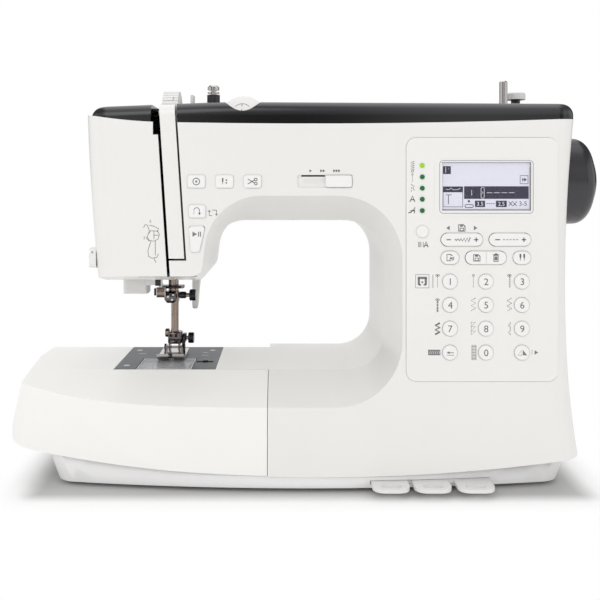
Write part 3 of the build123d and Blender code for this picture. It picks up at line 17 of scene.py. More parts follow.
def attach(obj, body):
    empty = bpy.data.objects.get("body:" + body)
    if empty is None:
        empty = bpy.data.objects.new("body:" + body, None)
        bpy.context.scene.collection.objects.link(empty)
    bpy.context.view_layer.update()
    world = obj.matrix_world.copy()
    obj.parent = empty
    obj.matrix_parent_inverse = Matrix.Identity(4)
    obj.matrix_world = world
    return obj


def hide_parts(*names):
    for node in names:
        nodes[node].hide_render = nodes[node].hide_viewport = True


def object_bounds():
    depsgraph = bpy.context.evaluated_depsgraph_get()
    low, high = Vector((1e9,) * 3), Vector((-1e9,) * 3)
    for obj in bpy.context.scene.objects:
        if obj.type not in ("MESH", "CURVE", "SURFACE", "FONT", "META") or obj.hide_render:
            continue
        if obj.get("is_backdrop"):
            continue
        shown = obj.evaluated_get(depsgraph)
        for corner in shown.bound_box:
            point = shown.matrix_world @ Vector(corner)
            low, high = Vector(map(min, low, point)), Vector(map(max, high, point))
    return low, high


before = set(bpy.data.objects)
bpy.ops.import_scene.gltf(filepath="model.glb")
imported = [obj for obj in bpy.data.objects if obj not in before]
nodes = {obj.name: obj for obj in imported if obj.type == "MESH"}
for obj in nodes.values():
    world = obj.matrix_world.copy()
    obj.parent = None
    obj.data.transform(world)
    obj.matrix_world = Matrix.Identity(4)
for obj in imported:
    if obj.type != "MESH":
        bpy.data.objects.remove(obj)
cad_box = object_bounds()
MM = 0.001
print("nodes", len(nodes), "box", [round(v / MM, 1) for corner in cad_box for v in corner])

# %% [markdown]
# ## Where the camera stands
# A product picture of a long, low thing is taken from some distance with its film plane kept
# upright, so that the edges stay straight. The lens is then shifted down instead of tilted, as on
# a view camera. The distance sets how much the table in front seems to widen.

# %% Camera
camera_data = bpy.data.cameras.new("Studio camera")
camera_data.sensor_width = 36.0
camera_data.lens = 49.41
camera_data.shift_x = 0.0317
camera_data.shift_y = -0.188
camera = bpy.data.objects.new("Studio camera", camera_data)
camera.location = (-0.0254, -0.6275, 0.2087)
camera.rotation_euler = (radians(90), 0, 0)
bpy.context.scene.collection.objects.link(camera)
bpy.context.scene.camera = camera
bpy.context.scene.view_settings.view_transform = "Standard"

# %% [markdown]
# ## Colour and nodes
# Paint colours are given as the hex values a designer would name, which are sRGB. Shaders work in
# linear light, so one function turns each value round. Another small function adds a node with its
# settings and links, which keeps each finish below down to a few lines.


# %% Colour and node helpers
def linear(code):
    """Linear RGBA of an sRGB hex colour such as #ECEBE9."""
    parts = [int(code[i : i + 2], 16) / 255 for i in (1, 3, 5)]
    return (*[p / 12.92 if p <= 0.04045 else ((p + 0.055) / 1.055) ** 2.4 for p in parts], 1.0)


def scaled(colour, factor):
    """A linear colour made darker or lighter, and never above white."""
    return (*[min(1.0, c * factor) for c in colour[:3]], 1)


def put(tree, kind, inputs=None, **settings):
    """Adds a node, sets it up, and fills its inputs with values or with other nodes' outputs."""
    node = tree.nodes.new(kind)
    for name, value in settings.items():
        setattr(node, name, value)
    for key, value in (inputs or {}).items():
        if isinstance(value, bpy.types.NodeSocket):
            tree.links.new(value, node.inputs[key])
        else:
            node.inputs[key].default_value = value
    return node


def start_finish(name, **sockets):
    """A new material: its tree, its shader, and the object's own coordinates."""
    material = bpy.data.materials.new(name)
    material.use_nodes = True
    tree = material.node_tree
    shader = tree.nodes["Principled BSDF"]
    for key, value in sockets.items():
        shader.inputs[key.replace("_", " ")].default_value = value
    place = put(tree, "ShaderNodeTexCoord").outputs["Object"]
    return material, tree, shader, place


# %% [markdown]
# ## Moulded plastic
# The covers are ABS, injection moulded in a polished tool. A gloss moulding is never quite flat: it
# has a faint orange peel a few millimetres across, and its gloss varies where the plastic flowed.
# Satin parts come from a spark-eroded tool and have a fine grain instead. Both come from one
# function: noise on the object's own coordinates moves the colour and the roughness a little, and
# a second noise makes the bump.


# %% Moulded plastics
def moulded(name, colour, rough, peel_mm, peel, shift=0.015, spread=0.05, **sockets):
    """Moulded plastic: peel_mm is the size of its grain, peel the height of it in millimetres."""
    material, tree, shader, place = start_finish(name, **sockets)
    flow = put(tree, "ShaderNodeTexNoise", {"Vector": place, "Scale": 14.0, "Detail": 3.0})
    tint = put(
        tree, "ShaderNodeMix", {"Factor": flow.outputs["Fac"]}, data_type="RGBA", blend_type="MIX"
    )
    base = linear(colour)
    tint.inputs["A"].default_value = scaled(base, 1 - shift)
    tint.inputs["B"].default_value = scaled(base, 1 + shift)
    tree.links.new(tint.outputs["Result"], shader.inputs["Base Color"])
    gloss = put(
        tree,
        "ShaderNodeMapRange",
        {"Value": flow.outputs["Fac"], "To Min": rough - spread / 2, "To Max": rough + spread / 2},
    )
    tree.links.new(gloss.outputs["Result"], shader.inputs["Roughness"])
    grain = put(
        tree, "ShaderNodeTexNoise", {"Vector": place, "Scale": 1 / (peel_mm * MM), "Detail": 2.0}
    )
    bump = put(
        tree, "ShaderNodeBump", {"Height": grain.outputs["Fac"], "Distance": peel * MM, "Strength": 0.6}
    )
    tree.links.new(bump.outputs["Normal"], shader.inputs["Normal"])
    return material


cover_white = moulded("Cover white gloss ABS", "#ECEBE8", 0.30, 5.0, 0.02, IOR=1.53)
table_white = moulded("Table white gloss ABS", "#F5F4F1", 0.32, 5.0, 0.02, IOR=1.53)
tray_white = moulded("Tray satin ABS", "#F2F1F1", 0.42, 1.2, 0.02, IOR=1.53)
lid_charcoal = moulded("Lid charcoal gloss ABS", "#353538", 0.20, 6.0, 0.02, IOR=1.53)
wheel_charcoal = moulded("Wheel charcoal gloss ABS", "#343236", 0.26, 6.0, 0.02, IOR=1.53)
panel_film = moulded("Panel satin film", "#EEEDEA", 0.48, 0.8, 0.012, IOR=1.58)
key_white = moulded("Key satin ABS", "#F1F0EE", 0.38, 1.0, 0.01, IOR=1.53)
fitting_white = moulded("Fitting white ABS", "#E8E6E4", 0.36, 2.0, 0.015, IOR=1.53)
lever_white = moulded("Lever white ABS", "#EFEDEA", 0.36, 2.0, 0.015, IOR=1.53)
fitting_black = moulded("Fitting black ABS", "#202023", 0.34, 1.5, 0.015, IOR=1.53)
latch_black = moulded("Latch matt black ABS", "#0E0E10", 0.85, 1.0, 0.02, Specular_IOR_Level=0.15)
foot_rubber = moulded("Foot rubber", "#3A3A3C", 0.75, 1.0, 0.03, IOR=1.52)
belt_rubber = moulded("Belt rubber", "#17171A", 0.7, 1.0, 0.05, IOR=1.52)
board_green = moulded("Board solder mask", "#1E5236", 0.45, 3.0, 0.02, IOR=1.5)
print("plastics", len(bpy.data.materials))

# %% [markdown]
# ## Painted shade in the thread slots
# Inside the two long slots of the head the covers are painted black-brown. This is painted shade,
# which stands in for the shade deep in the slots, and it starts just under the face.
# It is the cover's own finish with a second colour where the object's coordinates say so: inside a
# box that starts a millimetre behind the face and ends before the back of the head.


# %% Cover with painted slot shade
def cover_with_painted_slot_shade(name, painted_shade_colour, *bands):
    """A copy of the white cover finish with painted shade, dark inside a box given by its X, Y and Z bands
    in mm.
    """
    material = cover_white.copy()
    material.name = name
    tree = material.node_tree
    shader = tree.nodes["Principled BSDF"]
    white = shader.inputs["Base Color"].links[0].from_socket
    place = put(tree, "ShaderNodeTexCoord").outputs["Object"]
    along = put(tree, "ShaderNodeSeparateXYZ", {"Vector": place})
    inside = None
    for axis, band in zip("XYZ", bands):
        for operation, limit in zip(("GREATER_THAN", "LESS_THAN"), band):
            sides = {0: along.outputs[axis], 1: limit * MM}
            test = put(tree, "ShaderNodeMath", sides, operation=operation).outputs[0]
            if inside:
                both = {0: inside, 1: test}
                test = put(tree, "ShaderNodeMath", both, operation="MULTIPLY").outputs[0]
            inside = test
    painted_shade_mix = put(tree, "ShaderNodeMix", {"Factor": inside}, data_type="RGBA")
    tree.links.new(white, painted_shade_mix.inputs["A"])
    painted_shade_mix.inputs["B"].default_value = linear(painted_shade_colour)
    tree.links.new(painted_shade_mix.outputs["Result"], shader.inputs["Base Color"])
    return material


# the box of painted shade in the slots, which is painted #1E1715
PAINTED_SLOT_SHADE_BOX = ((-124, -84), (-58.6, 60), (146, 257))  # from below the face to short of the back
head_white_with_painted_shade = cover_with_painted_slot_shade("Head cover white ABS, painted slot shade", "#1E1715", *PAINTED_SLOT_SHADE_BOX)

# %% [markdown]
# ## Lid, with painted shade and a painted highlight
# The lid is polished. Its colour follows height: a dark band of painted shade runs along its lower edge,
# where it meets the covers, and a painted highlight lightens it near the top. Height is read on the
# object's own Z coordinate.


# %% Lid with painted shade and highlight
def lid_with_painted_light(name, heights):
    """A copy of the lid's finish whose colour is multiplied by a factor that follows height: painted shade
    low down, a painted highlight near the top.
    """
    material = lid_charcoal.copy()
    material.name = name
    tree = material.node_tree
    shader = tree.nodes["Principled BSDF"]
    plain = shader.inputs["Base Color"].links[0].from_socket
    place = put(tree, "ShaderNodeTexCoord").outputs["Object"]
    height = put(tree, "ShaderNodeSeparateXYZ", {"Vector": place}).outputs["Z"]
    low, high = heights[0][0], heights[-1][0]
    span = {"Value": height, "From Min": low * MM, "From Max": high * MM}
    along = put(tree, "ShaderNodeMapRange", span)
    ramp = put(tree, "ShaderNodeValToRGB", {"Fac": along.outputs["Result"]})
    while len(ramp.color_ramp.elements) < len(heights):
        ramp.color_ramp.elements.new(0.5)
    for element, (z, factor) in zip(ramp.color_ramp.elements, heights):
        element.position = (z - low) / (high - low)
        element.color = (factor, factor, factor, 1)
    mixed = put(tree, "ShaderNodeMix", {"Factor": 1.0}, data_type="RGBA", blend_type="MULTIPLY")
    tree.links.new(plain, mixed.inputs["A"])
    tree.links.new(ramp.outputs["Color"], mixed.inputs["B"])
    tree.links.new(mixed.outputs["Result"], shader.inputs["Base Color"])
    return material


# painted shade below about 259 mm and a painted highlight above 262 mm, as colour factors by height
LID_PAINTED_LIGHT = ((252.0, 0.10), (258.2, 0.10), (259.4, 0.45), (262.0, 0.85), (267.0, 1.7))  # (mm, factor)
lid_painted_light = lid_with_painted_light("Lid charcoal ABS, painted shade and highlight", LID_PAINTED_LIGHT)

# %% [markdown]
# ## Metal
# The bars are chromed steel, the plate is steel with a grey coating, the shafts are ground. What
# the eye reads is the direction of the work: a ground bar has fine rings, a brushed plate has
# lines. Noise stretched along one axis gives such lines. A metal keeps the default index of
# refraction, and its colour is the colour of its reflections.


# %% Metals
def worked_metal(name, colour, rough, lines, depth, metallic=1.0):
    """Metal with fine lines: lines gives how many there are to a metre along X, Y and Z."""
    material, tree, shader, place = start_finish(name, Metallic=metallic)
    shader.inputs["Base Color"].default_value = linear(colour)
    stretch = put(tree, "ShaderNodeMapping", {"Vector": place, "Scale": lines})
    streak = put(
        tree, "ShaderNodeTexNoise", {"Vector": stretch.outputs["Vector"], "Scale": 1.0, "Detail": 2.0}
    )
    gloss = put(
        tree,
        "ShaderNodeMapRange",
        {"Value": streak.outputs["Fac"], "To Min": rough * 0.7, "To Max": rough * 1.4},
    )
    tree.links.new(gloss.outputs["Result"], shader.inputs["Roughness"])
    bump = put(
        tree, "ShaderNodeBump", {"Height": streak.outputs["Fac"], "Distance": depth * MM, "Strength": 0.5}
    )
    tree.links.new(bump.outputs["Normal"], shader.inputs["Normal"])
    return material


plate_steel = worked_metal("Plate grey coated steel", "#5B5D62", 0.42, (60, 2500, 60), 0.01, 0.55)
chrome = worked_metal("Chromed steel", "#BDB9B8", 0.12, (400, 400, 3000), 0.004)
dark_chrome = worked_metal("Dark chromed steel", "#6A6567", 0.12, (400, 400, 3000), 0.004)
bar_steel = worked_metal("Oiled steel bar", "#97877D", 0.2, (400, 400, 3000), 0.006)
ground_steel = worked_metal("Ground steel", "#A9AAAE", 0.28, (3000, 200, 200), 0.008)
blued_steel = worked_metal("Blackened steel", "#3B3B40", 0.25, (800, 800, 800), 0.006, 0.9)
# painted shade: the frame is a dark grey, so that the inside of the head, seen through the slots, looks
# shaded
frame_dark_painted_shade = worked_metal("Cast aluminium, darkened as painted shade", "#5C5C5E", 0.55, (500, 500, 500), 0.08)
print("metals", len(bpy.data.materials))

# %% [markdown]
# ## Clear parts and light
# The bobbin cover is clear acrylic, and so is the window of the display. Light passes straight
# through such thin walls, so they are made see-through with a gloss on top rather than refracting,
# which keeps the picture behind them clean.


# %% Clear plastic, display and lamps
def clear_plastic(name, colour, alpha, rough):
    """Clear plastic: alpha is how much of what lies behind it the plastic hides."""
    material, tree, shader, place = start_finish(name, IOR=1.49)
    shader.inputs["Base Color"].default_value = linear(colour)
    haze = put(tree, "ShaderNodeTexNoise", {"Vector": place, "Scale": 60.0, "Detail": 2.0})
    clarity = put(
        tree,
        "ShaderNodeMapRange",
        {"Value": haze.outputs["Fac"], "To Min": alpha * 0.9, "To Max": alpha * 1.1},
    )
    tree.links.new(clarity.outputs["Result"], shader.inputs["Alpha"])
    gloss = put(
        tree, "ShaderNodeMapRange", {"Value": haze.outputs["Fac"], "To Min": rough, "To Max": rough * 2}
    )
    tree.links.new(gloss.outputs["Result"], shader.inputs["Roughness"])
    return material


def lit(name, colour, glow, rough=0.3):
    """A surface that shines by itself a little, such as a display or a lamp."""
    material, tree, shader, place = start_finish(name, Roughness=rough)
    grid = put(tree, "ShaderNodeTexNoise", {"Vector": place, "Scale": 900.0, "Detail": 0.0})
    base = linear(colour)
    tint = put(tree, "ShaderNodeMix", {"Factor": grid.outputs["Fac"]}, data_type="RGBA")
    tint.inputs["A"].default_value = scaled(base, 0.95)
    tint.inputs["B"].default_value = scaled(base, 1.05)
    tree.links.new(tint.outputs["Result"], shader.inputs["Base Color"])
    shader.inputs["Emission Color"].default_value = base
    shader.inputs["Emission Strength"].default_value = glow
    return material


cover_acrylic = clear_plastic("Bobbin cover acrylic", "#D9DBDD", 0.42, 0.08)
bobbin_clear = clear_plastic("Bobbin clear plastic", "#DDE0E2", 0.45, 0.1)
window_acrylic = clear_plastic("Display window acrylic", "#E4E4EC", 0.03, 0.06)
display_pale = lit("Display pale", "#D6D6E2", 0.14)
display_dark = lit("Display violet", "#2A2440", 0.02)
lamp_on = lit("Lamp lit green", "#93C01F", 0.25)
lamp_off = lit("Lamp green", "#0B6B33", 0.02)
ink_grey = moulded("Printing ink grey", "#77777A", 0.5, 0.5, 0.002, spread=0.02)
ink_dark = moulded("Printing ink dark", "#5A5A5E", 0.5, 0.5, 0.002, spread=0.02)
ink_white = moulded("Printing ink white", "#E8E8EA", 0.5, 0.5, 0.002, spread=0.02)
print("finishes", len(bpy.data.materials))

# %% [markdown]
# ## Finishes on the solids
# Most solids are one moulding or one turned piece, so one finish covers each. The solids' shading
# is already smooth where they are round, because their surface normals came with them.

# %% One finish per solid
finish_of = {
    "front_cover": head_white_with_painted_shade, "face_cover": head_white_with_painted_shade,
    "extension_table": table_white, "top_cover": lid_painted_light, "handwheel": wheel_charcoal,
    "main_frame": frame_dark_painted_shade, "main_shaft": ground_steel, "lower_shaft": ground_steel,
    "needle_bar_link": ground_steel, "rotary_hook": ground_steel, "motor_pulley": ground_steel,
    "bobbin_case": fitting_black, "bobbin": bobbin_clear, "bobbin_cover": cover_acrylic,
    "bobbin_latch": latch_black, "drive_motor": fitting_black, "drive_belts": belt_rubber,
    "needle_plate": plate_steel, "feed_dog": ground_steel, "needle_bar": bar_steel,
    "take_up_lever": bar_steel, "presser_bar": bar_steel, "presser_foot": chrome,
    "winder_spindle": chrome, "presser_lever": fitting_white, "needle_threader": fitting_white,
    "tension_dial": fitting_white, "pressure_dial": fitting_white, "spool_pin": fitting_white,
    "handle": lid_charcoal, "stitch_cards": fitting_white,
}
split_nodes = ("base_tray", "control_panel", "control_board", "thread_guides", "rear_cover")
for name, solid in nodes.items():
    if name not in split_nodes:
        solid.data.materials.clear()
        solid.data.materials.append(finish_of.get(name, key_white))
print("solids finished", len(nodes) - len(split_nodes))

# %% [markdown]
# ## Nodes that hold more than one piece
# The tray carries its rubber feet, the panel its window, and the circuit board its display and
# lamps. Each of these comes as one solid group, so it is copied, its loose pieces are told apart by
# where they lie, and each gets its own finish. The copy then stands for the original.


# %% Copies with several finishes
def merged_copy(node, name):
    """A copy of a solid's mesh with its doubled points merged."""
    mesh = nodes[node].data.copy()
    mesh.name = name
    mesh.materials.clear()
    normals = [corner.vector.copy() for corner in mesh.corner_normals]
    corners = len(mesh.loops)
    work = bmesh.new()
    work.from_mesh(mesh)
    bmesh.ops.remove_doubles(work, verts=work.verts, dist=1e-7)
    work.to_mesh(mesh)
    work.free()
    if len(mesh.loops) == corners:
        mesh.normals_split_custom_set(normals)
    return mesh


def add_piece(mesh, name, body, finishes=()):
    """Puts a mesh in the scene as a piece that rides on a body."""
    piece = bpy.data.objects.new(name, mesh)
    bpy.context.scene.collection.objects.link(piece)
    for material in finishes:
        mesh.materials.append(material)
    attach(piece, body)
    return piece


def sort_finishes(mesh, choose):
    """Gives every face the finish that choose(lowest corner, highest corner) names, in mm."""
    for face in mesh.polygons:
        points = [mesh.vertices[i].co / MM for i in face.vertices]
        low, high = ([edge(p[i] for p in points) for i in range(3)] for edge in (min, max))
        face.material_index = int(choose(low, high))


FOOT_TOP, FOOT_WIDTH = 2.01, 30  # nothing of the tray itself is as low and as narrow as a foot
tray = merged_copy("base_tray", "Tray")
tray = add_piece(tray, "Tray_and_feet", "housing", [tray_white, foot_rubber])
sort_finishes(tray.data, lambda low, high: high[2] < FOOT_TOP and high[0] - low[0] < FOOT_WIDTH)
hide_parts("base_tray")

panel = merged_copy("control_panel", "Panel")
panel = add_piece(panel, "Panel_and_window", "housing", [panel_film, window_acrylic])
WINDOW = (85.3, 147.0, 192.4, 226.3)  # left, right, low and high edge of the window
WINDOW_BACK = -57.5


def panel_finish(low, high):
    """1 for the window's faces, 0 for the panel's."""
    left, right, bottom, top = WINDOW
    across = left < low[0] and high[0] < right
    return across and bottom < low[2] and high[2] < top and high[1] < WINDOW_BACK


sort_finishes(panel.data, panel_finish)
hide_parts("control_panel")

guides = merged_copy("thread_guides", "Guides")
guide_finishes = [fitting_white, chrome, fitting_black]
guides = add_piece(guides, "Top_guides", "housing", guide_finishes)
FIN_RIGHT = -85
TENSION_DISC_TOP, STOP_FOOT_TOP = 275.2, 276.0


def guide_finish(low, high):
    """The white fin is on the left, the steel disc on its dark foot next, the white stop right."""
    if high[0] < FIN_RIGHT:
        return 0
    if high[0] < 0:
        return 2 if high[2] < TENSION_DISC_TOP else 1
    return 2 if high[2] < STOP_FOOT_TOP else 0


sort_finishes(guides.data, guide_finish)
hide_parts("thread_guides")
rear = merged_copy("rear_cover", "Rear")
rear = add_piece(rear, "Rear_cover_piece", "housing", [cover_white, fitting_black])


def sort_islands(mesh, choose):
    """Like sort_finishes, but each loose island of a mesh gets one finish, by its box in mm."""
    work = bmesh.new()
    work.from_mesh(mesh)
    waiting = set(work.verts)
    islands = 0
    while waiting:
        island, painted_rim_lines = set(), [waiting.pop()]
        while painted_rim_lines:
            vertex = painted_rim_lines.pop()
            island.add(vertex)
            for link in vertex.link_edges:
                other = link.other_vert(vertex)
                if other in waiting:
                    waiting.discard(other)
                    painted_rim_lines.append(other)
        low, high = ([edge(v.co[i] for v in island) / MM for i in range(3)] for edge in (min, max))
        finish = int(choose(low, high))
        islands += 1
        for vertex in island:
            for face in vertex.link_faces:
                mesh.polygons[face.index].material_index = finish
    work.free()
    return islands


SOCKETS_LEFT, SOCKETS_TOP, SOCKET_LENGTH = 120, 95, 60


def socket_finish(low, high):
    """1 for the black inlet and jack, 0 for the white cover round them."""
    return low[0] > SOCKETS_LEFT and high[0] - low[0] < SOCKET_LENGTH and high[2] < SOCKETS_TOP


print("loose solids of the rear cover", sort_islands(rear.data, socket_finish))
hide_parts("rear_cover")

# %% The circuit board with its display and lamps
board = merged_copy("control_board", "Board")
board_finishes = [board_green, display_pale, lamp_off, lamp_on]
board = add_piece(board, "Board_and_lamps", "housing", board_finishes)
BOARD_FRONT = -48.1
LAMPS_LEFT, DISPLAY_LEFT, LIT_LAMP_LOW = 60, 78, 220
work = bmesh.new()
work.from_mesh(board.data)
for face in work.faces:
    x, y, z = face.calc_center_median() / MM
    if y < BOARD_FRONT and x > LAMPS_LEFT:
        if x > DISPLAY_LEFT:
            face.material_index = 1
        else:
            face.material_index = 3 if z > LIT_LAMP_LOW else 2
work.to_mesh(board.data)
work.free()
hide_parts("control_board")

# %% [markdown]
# ## Printed symbols
# Symbols are screen printed on the panel and on the keys. A print is a film a few hundredths of a
# millimetre thick, so it is made as a thin ribbon along drawn lines. A Geometry Nodes tree does
# this: it turns drawn edges to curves and sweeps a flat profile along them. The drawing is made
# flat, in X and Y, where the ribbon's flat side is sure to face up, and is then stood up.


# %% The ribbon tree
def open_tree(name, **inputs):
    """A Geometry Nodes tree with named inputs, and the outputs of its input node."""
    tree = bpy.data.node_groups.new(name, "GeometryNodeTree")
    for label, kind in {"Geometry": "Geometry", **inputs}.items():
        label = label.replace("_", " ")
        tree.interface.new_socket(label, in_out="INPUT", socket_type=f"NodeSocket{kind}")
    tree.interface.new_socket("Geometry", in_out="OUTPUT", socket_type="NodeSocketGeometry")
    return tree, put(tree, "NodeGroupInput").outputs


def close_tree(tree, geometry, finish):
    """Ends a tree: real geometry in place of instances, then its finish, then the way out."""
    real = put(tree, "GeometryNodeRealizeInstances", {"Geometry": geometry})
    dressed = {"Geometry": real.outputs["Geometry"], "Material": finish}
    done = put(tree, "GeometryNodeSetMaterial", dressed)
    put(tree, "NodeGroupOutput", {"Geometry": done.outputs["Geometry"]})
    return tree


def ribbon_tree():
    """A flat ribbon along each drawn line."""
    kinds = {"Line_width": "Float", "Film_height": "Float", "Ink": "Material"}
    tree, given = open_tree("Printed lines", **kinds)
    lines = put(tree, "GeometryNodeMeshToCurve", {"Mesh": given["Geometry"]})
    upright = put(
        tree, "GeometryNodeSetCurveNormal", {"Curve": lines.outputs["Curve"]}, mode="Z_UP"
    )
    profile = put(
        tree,
        "GeometryNodeCurvePrimitiveQuadrilateral",
        {"Width": given["Line width"], "Height": given["Film height"]},
    )
    ribbon = put(
        tree,
        "GeometryNodeCurveToMesh",
        {
            "Curve": upright.outputs["Curve"],
            "Profile Curve": profile.outputs["Curve"],
            "Fill Caps": True,
        },
    )
    return close_tree(tree, ribbon.outputs["Mesh"], given["Ink"])


printed_lines = ribbon_tree()


def run_tree(tree, mesh, name, settings):
    """Runs a Geometry Nodes tree on a mesh and returns the plain mesh that it makes."""
    holder = bpy.data.objects.new(name, mesh)
    bpy.context.scene.collection.objects.link(holder)
    modifier = holder.modifiers.new(name, "NODES")
    modifier.node_group = tree
    for item in tree.interface.items_tree:
        if item.in_out == "INPUT" and item.name in settings:
            modifier[item.identifier] = settings[item.name]
    evaluated = holder.evaluated_get(bpy.context.evaluated_depsgraph_get())
    made = bpy.data.meshes.new_from_object(evaluated)
    made.name = name
    bpy.data.objects.remove(holder)
    return made


STAND_UP = Matrix.Rotation(radians(90), 4, "X")


def drawn_mesh(strokes, name):
    """Edges along strokes of (across, up) points in millimetres, drawn flat."""
    points, edges = [], []
    for stroke in strokes:
        start = len(points)
        closed = len(stroke) > 2 and stroke[0] == stroke[-1]
        kept = stroke[:-1] if closed else stroke
        points += [(x * MM, z * MM, 0.0) for x, z in kept]
        edges += [(start + i, start + i + 1) for i in range(len(kept) - 1)]
        if closed:
            edges.append((start + len(kept) - 1, start))
    mesh = bpy.data.meshes.new(name)
    mesh.from_pydata(points, edges, [])
    return mesh


# %% [markdown]
# Symbols also have solid areas, such as arrowheads. Those are thin plates cut to an outline. Lines
# and areas that lie on one face are joined into one piece, which rides on what they are printed on.


# %% Printing lines, areas and digits
FILM = 0.06  # height of the ink film in millimetres


def as_mesh(work, name):
    """The mesh that was worked on, under a name."""
    mesh = bpy.data.meshes.new(name)
    work.to_mesh(mesh)
    work.free()
    return mesh


def thicken(work, faces, way):
    """Gives flat faces a thickness; way is how far and where to, in millimetres."""
    lifted = bmesh.ops.extrude_face_region(work, geom=faces)["geom"]
    top = [v for v in lifted if isinstance(v, bmesh.types.BMVert)]
    bmesh.ops.translate(work, verts=top, vec=[v * MM for v in way])


def area_mesh(outlines, name, depth=FILM):
    """Thin plates with the given outlines, drawn flat."""
    work = bmesh.new()
    for outline in outlines:
        face = work.faces.new([work.verts.new((x * MM, z * MM, -depth * MM / 2)) for x, z in outline])
        face.normal_update()
        if face.normal.z < 0:
            face.normal_flip()
        thicken(work, [face], (0, 0, depth))
    bmesh.ops.recalc_face_normals(work, faces=work.faces)
    return as_mesh(work, name)


def text_mesh(text, x, z, height, name, depth=FILM):
    """Flat lettering of the given cap height, centred on (x, z)."""
    curve = bpy.data.curves.new(name, "FONT")
    curve.body = text
    curve.size = height * MM / 0.7
    curve.extrude = depth * MM / 2
    curve.resolution_u = 4
    holder = bpy.data.objects.new(name, curve)
    bpy.context.scene.collection.objects.link(holder)
    mesh = bpy.data.meshes.new_from_object(
        holder.evaluated_get(bpy.context.evaluated_depsgraph_get())
    )
    bpy.data.objects.remove(holder)
    spots = [v.co for v in mesh.vertices]
    middle = [(min(p[i] for p in spots) + max(p[i] for p in spots)) / 2 for i in (0, 1)]
    mesh.transform(Matrix.Translation((x * MM - middle[0], z * MM - middle[1], 0)))
    return mesh


def joined(meshes, name):
    """One mesh from several, which keeps their materials' order."""
    work = bmesh.new()
    for mesh in meshes:
        work.from_mesh(mesh)
    return as_mesh(work, name)


def print_on(name, body, face_y, strokes=(), areas=(), texts=(), width=0.4, ink=None, place=STAND_UP):
    """Prints on an upright face at depth face_y, in millimetres; the ink stands on that face."""
    ink = ink or ink_grey
    parts = []
    if strokes:
        settings = {"Line width": width * MM, "Film height": FILM * MM, "Ink": ink}
        parts.append(run_tree(printed_lines, drawn_mesh(strokes, name), name, settings))
    if areas:
        parts.append(area_mesh(areas, name))
    parts += [text_mesh(*text, name) for text in texts]
    mesh = joined(parts, name)
    mesh.transform(Matrix.Translation((0, face_y * MM, 0)) @ place)
    return add_piece(mesh, name, body, [ink])


# %% Shapes for the symbols
def arc(x, z, radius, start=0.0, turn=360.0, steps=14, squash=1.0):
    """Points along an arc; squash flattens it from top to bottom."""
    angles = [radians(start + turn * i / steps) for i in range(steps + 1)]
    points = [(x + radius * cos(a), z + radius * squash * sin(a)) for a in angles]
    return points[:-1] + points[:1] if abs(turn) == 360 else points


def frame_line(x, z, wide, high):
    """A closed rectangle round (x, z)."""
    a, b = wide / 2, high / 2
    return [(x - a, z - b), (x + a, z - b), (x + a, z + b), (x - a, z + b), (x - a, z - b)]


def filled(x, z, wide, high):
    """The outline of a filled rectangle round (x, z)."""
    return frame_line(x, z, wide, high)[:-1]


def zigzag(x, top, step, count, reach):
    """A zigzag that runs down from top."""
    return [(x + reach * (-1) ** i / 2, top - step * i) for i in range(count + 1)]


def dashes(x0, z0, x1, z1, count, fill=0.6):
    """Short strokes from one point to another."""
    marks = []
    for i in range(count):
        a, b = i / count, (i + fill) / count
        marks.append([(x0 + (x1 - x0) * t, z0 + (z1 - z0) * t) for t in (a, b)])
    return marks


def disk_symbol(x, z, size=4.4):
    """A storage disk: an outline with a cut corner, a label and a shutter."""
    a = size / 2
    outline = [(x - a, z - a), (x + a, z - a), (x + a, z + a - 1.1), (x + a - 1.1, z + a)]
    outline += [(x - a, z + a), (x - a, z - a)]
    return [outline, frame_line(x, z - a / 2 + 0.1, size * 0.55, a * 0.8)], [
        filled(x - 0.2, z + a * 0.62, size * 0.45, a * 0.5)
    ]


def loops(x, top, count):
    """The stretch loops that start a stitch pattern: small rings side by side."""
    return [arc(x + 1.1 * (i - (count - 1) / 2), top, 0.75, steps=8, squash=0.8) for i in range(count)]


# %% [markdown]
# ## What is printed on the panel
# Every sign here is a common one: arrows, a disk, a bin, a foot, lines of stitches, plus and minus.
# The places follow the key rows and columns, so the signs line up with their keys.

# %% Panel signs
key_x = (91.0, 115.7, 140.5)
key_z = (143.7, 127.6, 111.3, 94.8)
PANEL_Y = -60.0
CAP_Y = -61.4
lines, areas, bold = [], [], []

# stitch groups beside the lamps
lines += [zigzag(65.2, 226.6 - 1.5 * i, 0.75, 2, 2.6) for i in range(4)]
lines += [arc(65.2, 219.7, 0.8, steps=8), arc(65.2, 217.4, 0.5, steps=8)]
lines += dashes(65.2, 216.2, 65.2, 211.8, 3)
lines += [[(64.2, 211.0), (65.6, 209.6)], [(66.4, 209.8), (65.4, 208.0), (66.6, 206.4)]]
lines += dashes(64.4, 208.6, 64.4, 204.8, 2)
# a letter form, upright and slanted, for the alphabets
bold += [[(63.5, 198.6), (65.2, 202.8), (66.9, 198.6)], [(64.2, 200.1), (66.3, 200.1)]]
bold += [[(62.4, 191.0), (64.3, 191.4), (67.0, 195.0), (66.4, 190.8)], [(63.8, 192.4), (66.8, 192.6)]]
# under the mode button: a card, a bar and a letter form
lines += [[(x, 167.4), (x, 171.0)] for x in (69.4, 70.2, 71.0, 72.6)]
bold += [[(73.2, 167.3), (74.6, 171.1), (76.0, 167.3)], [(73.8, 168.6), (75.4, 168.6)]]
# arrows and disk over the rockers
areas += [[(88.5, 180.6), (90.9, 179.0), (90.9, 182.2)], [(109.9, 180.6), (107.5, 179.0), (107.5, 182.2)]]
disk_lines, disk_areas = disk_symbol(99.2, 180.6)
bold += disk_lines
areas += disk_areas
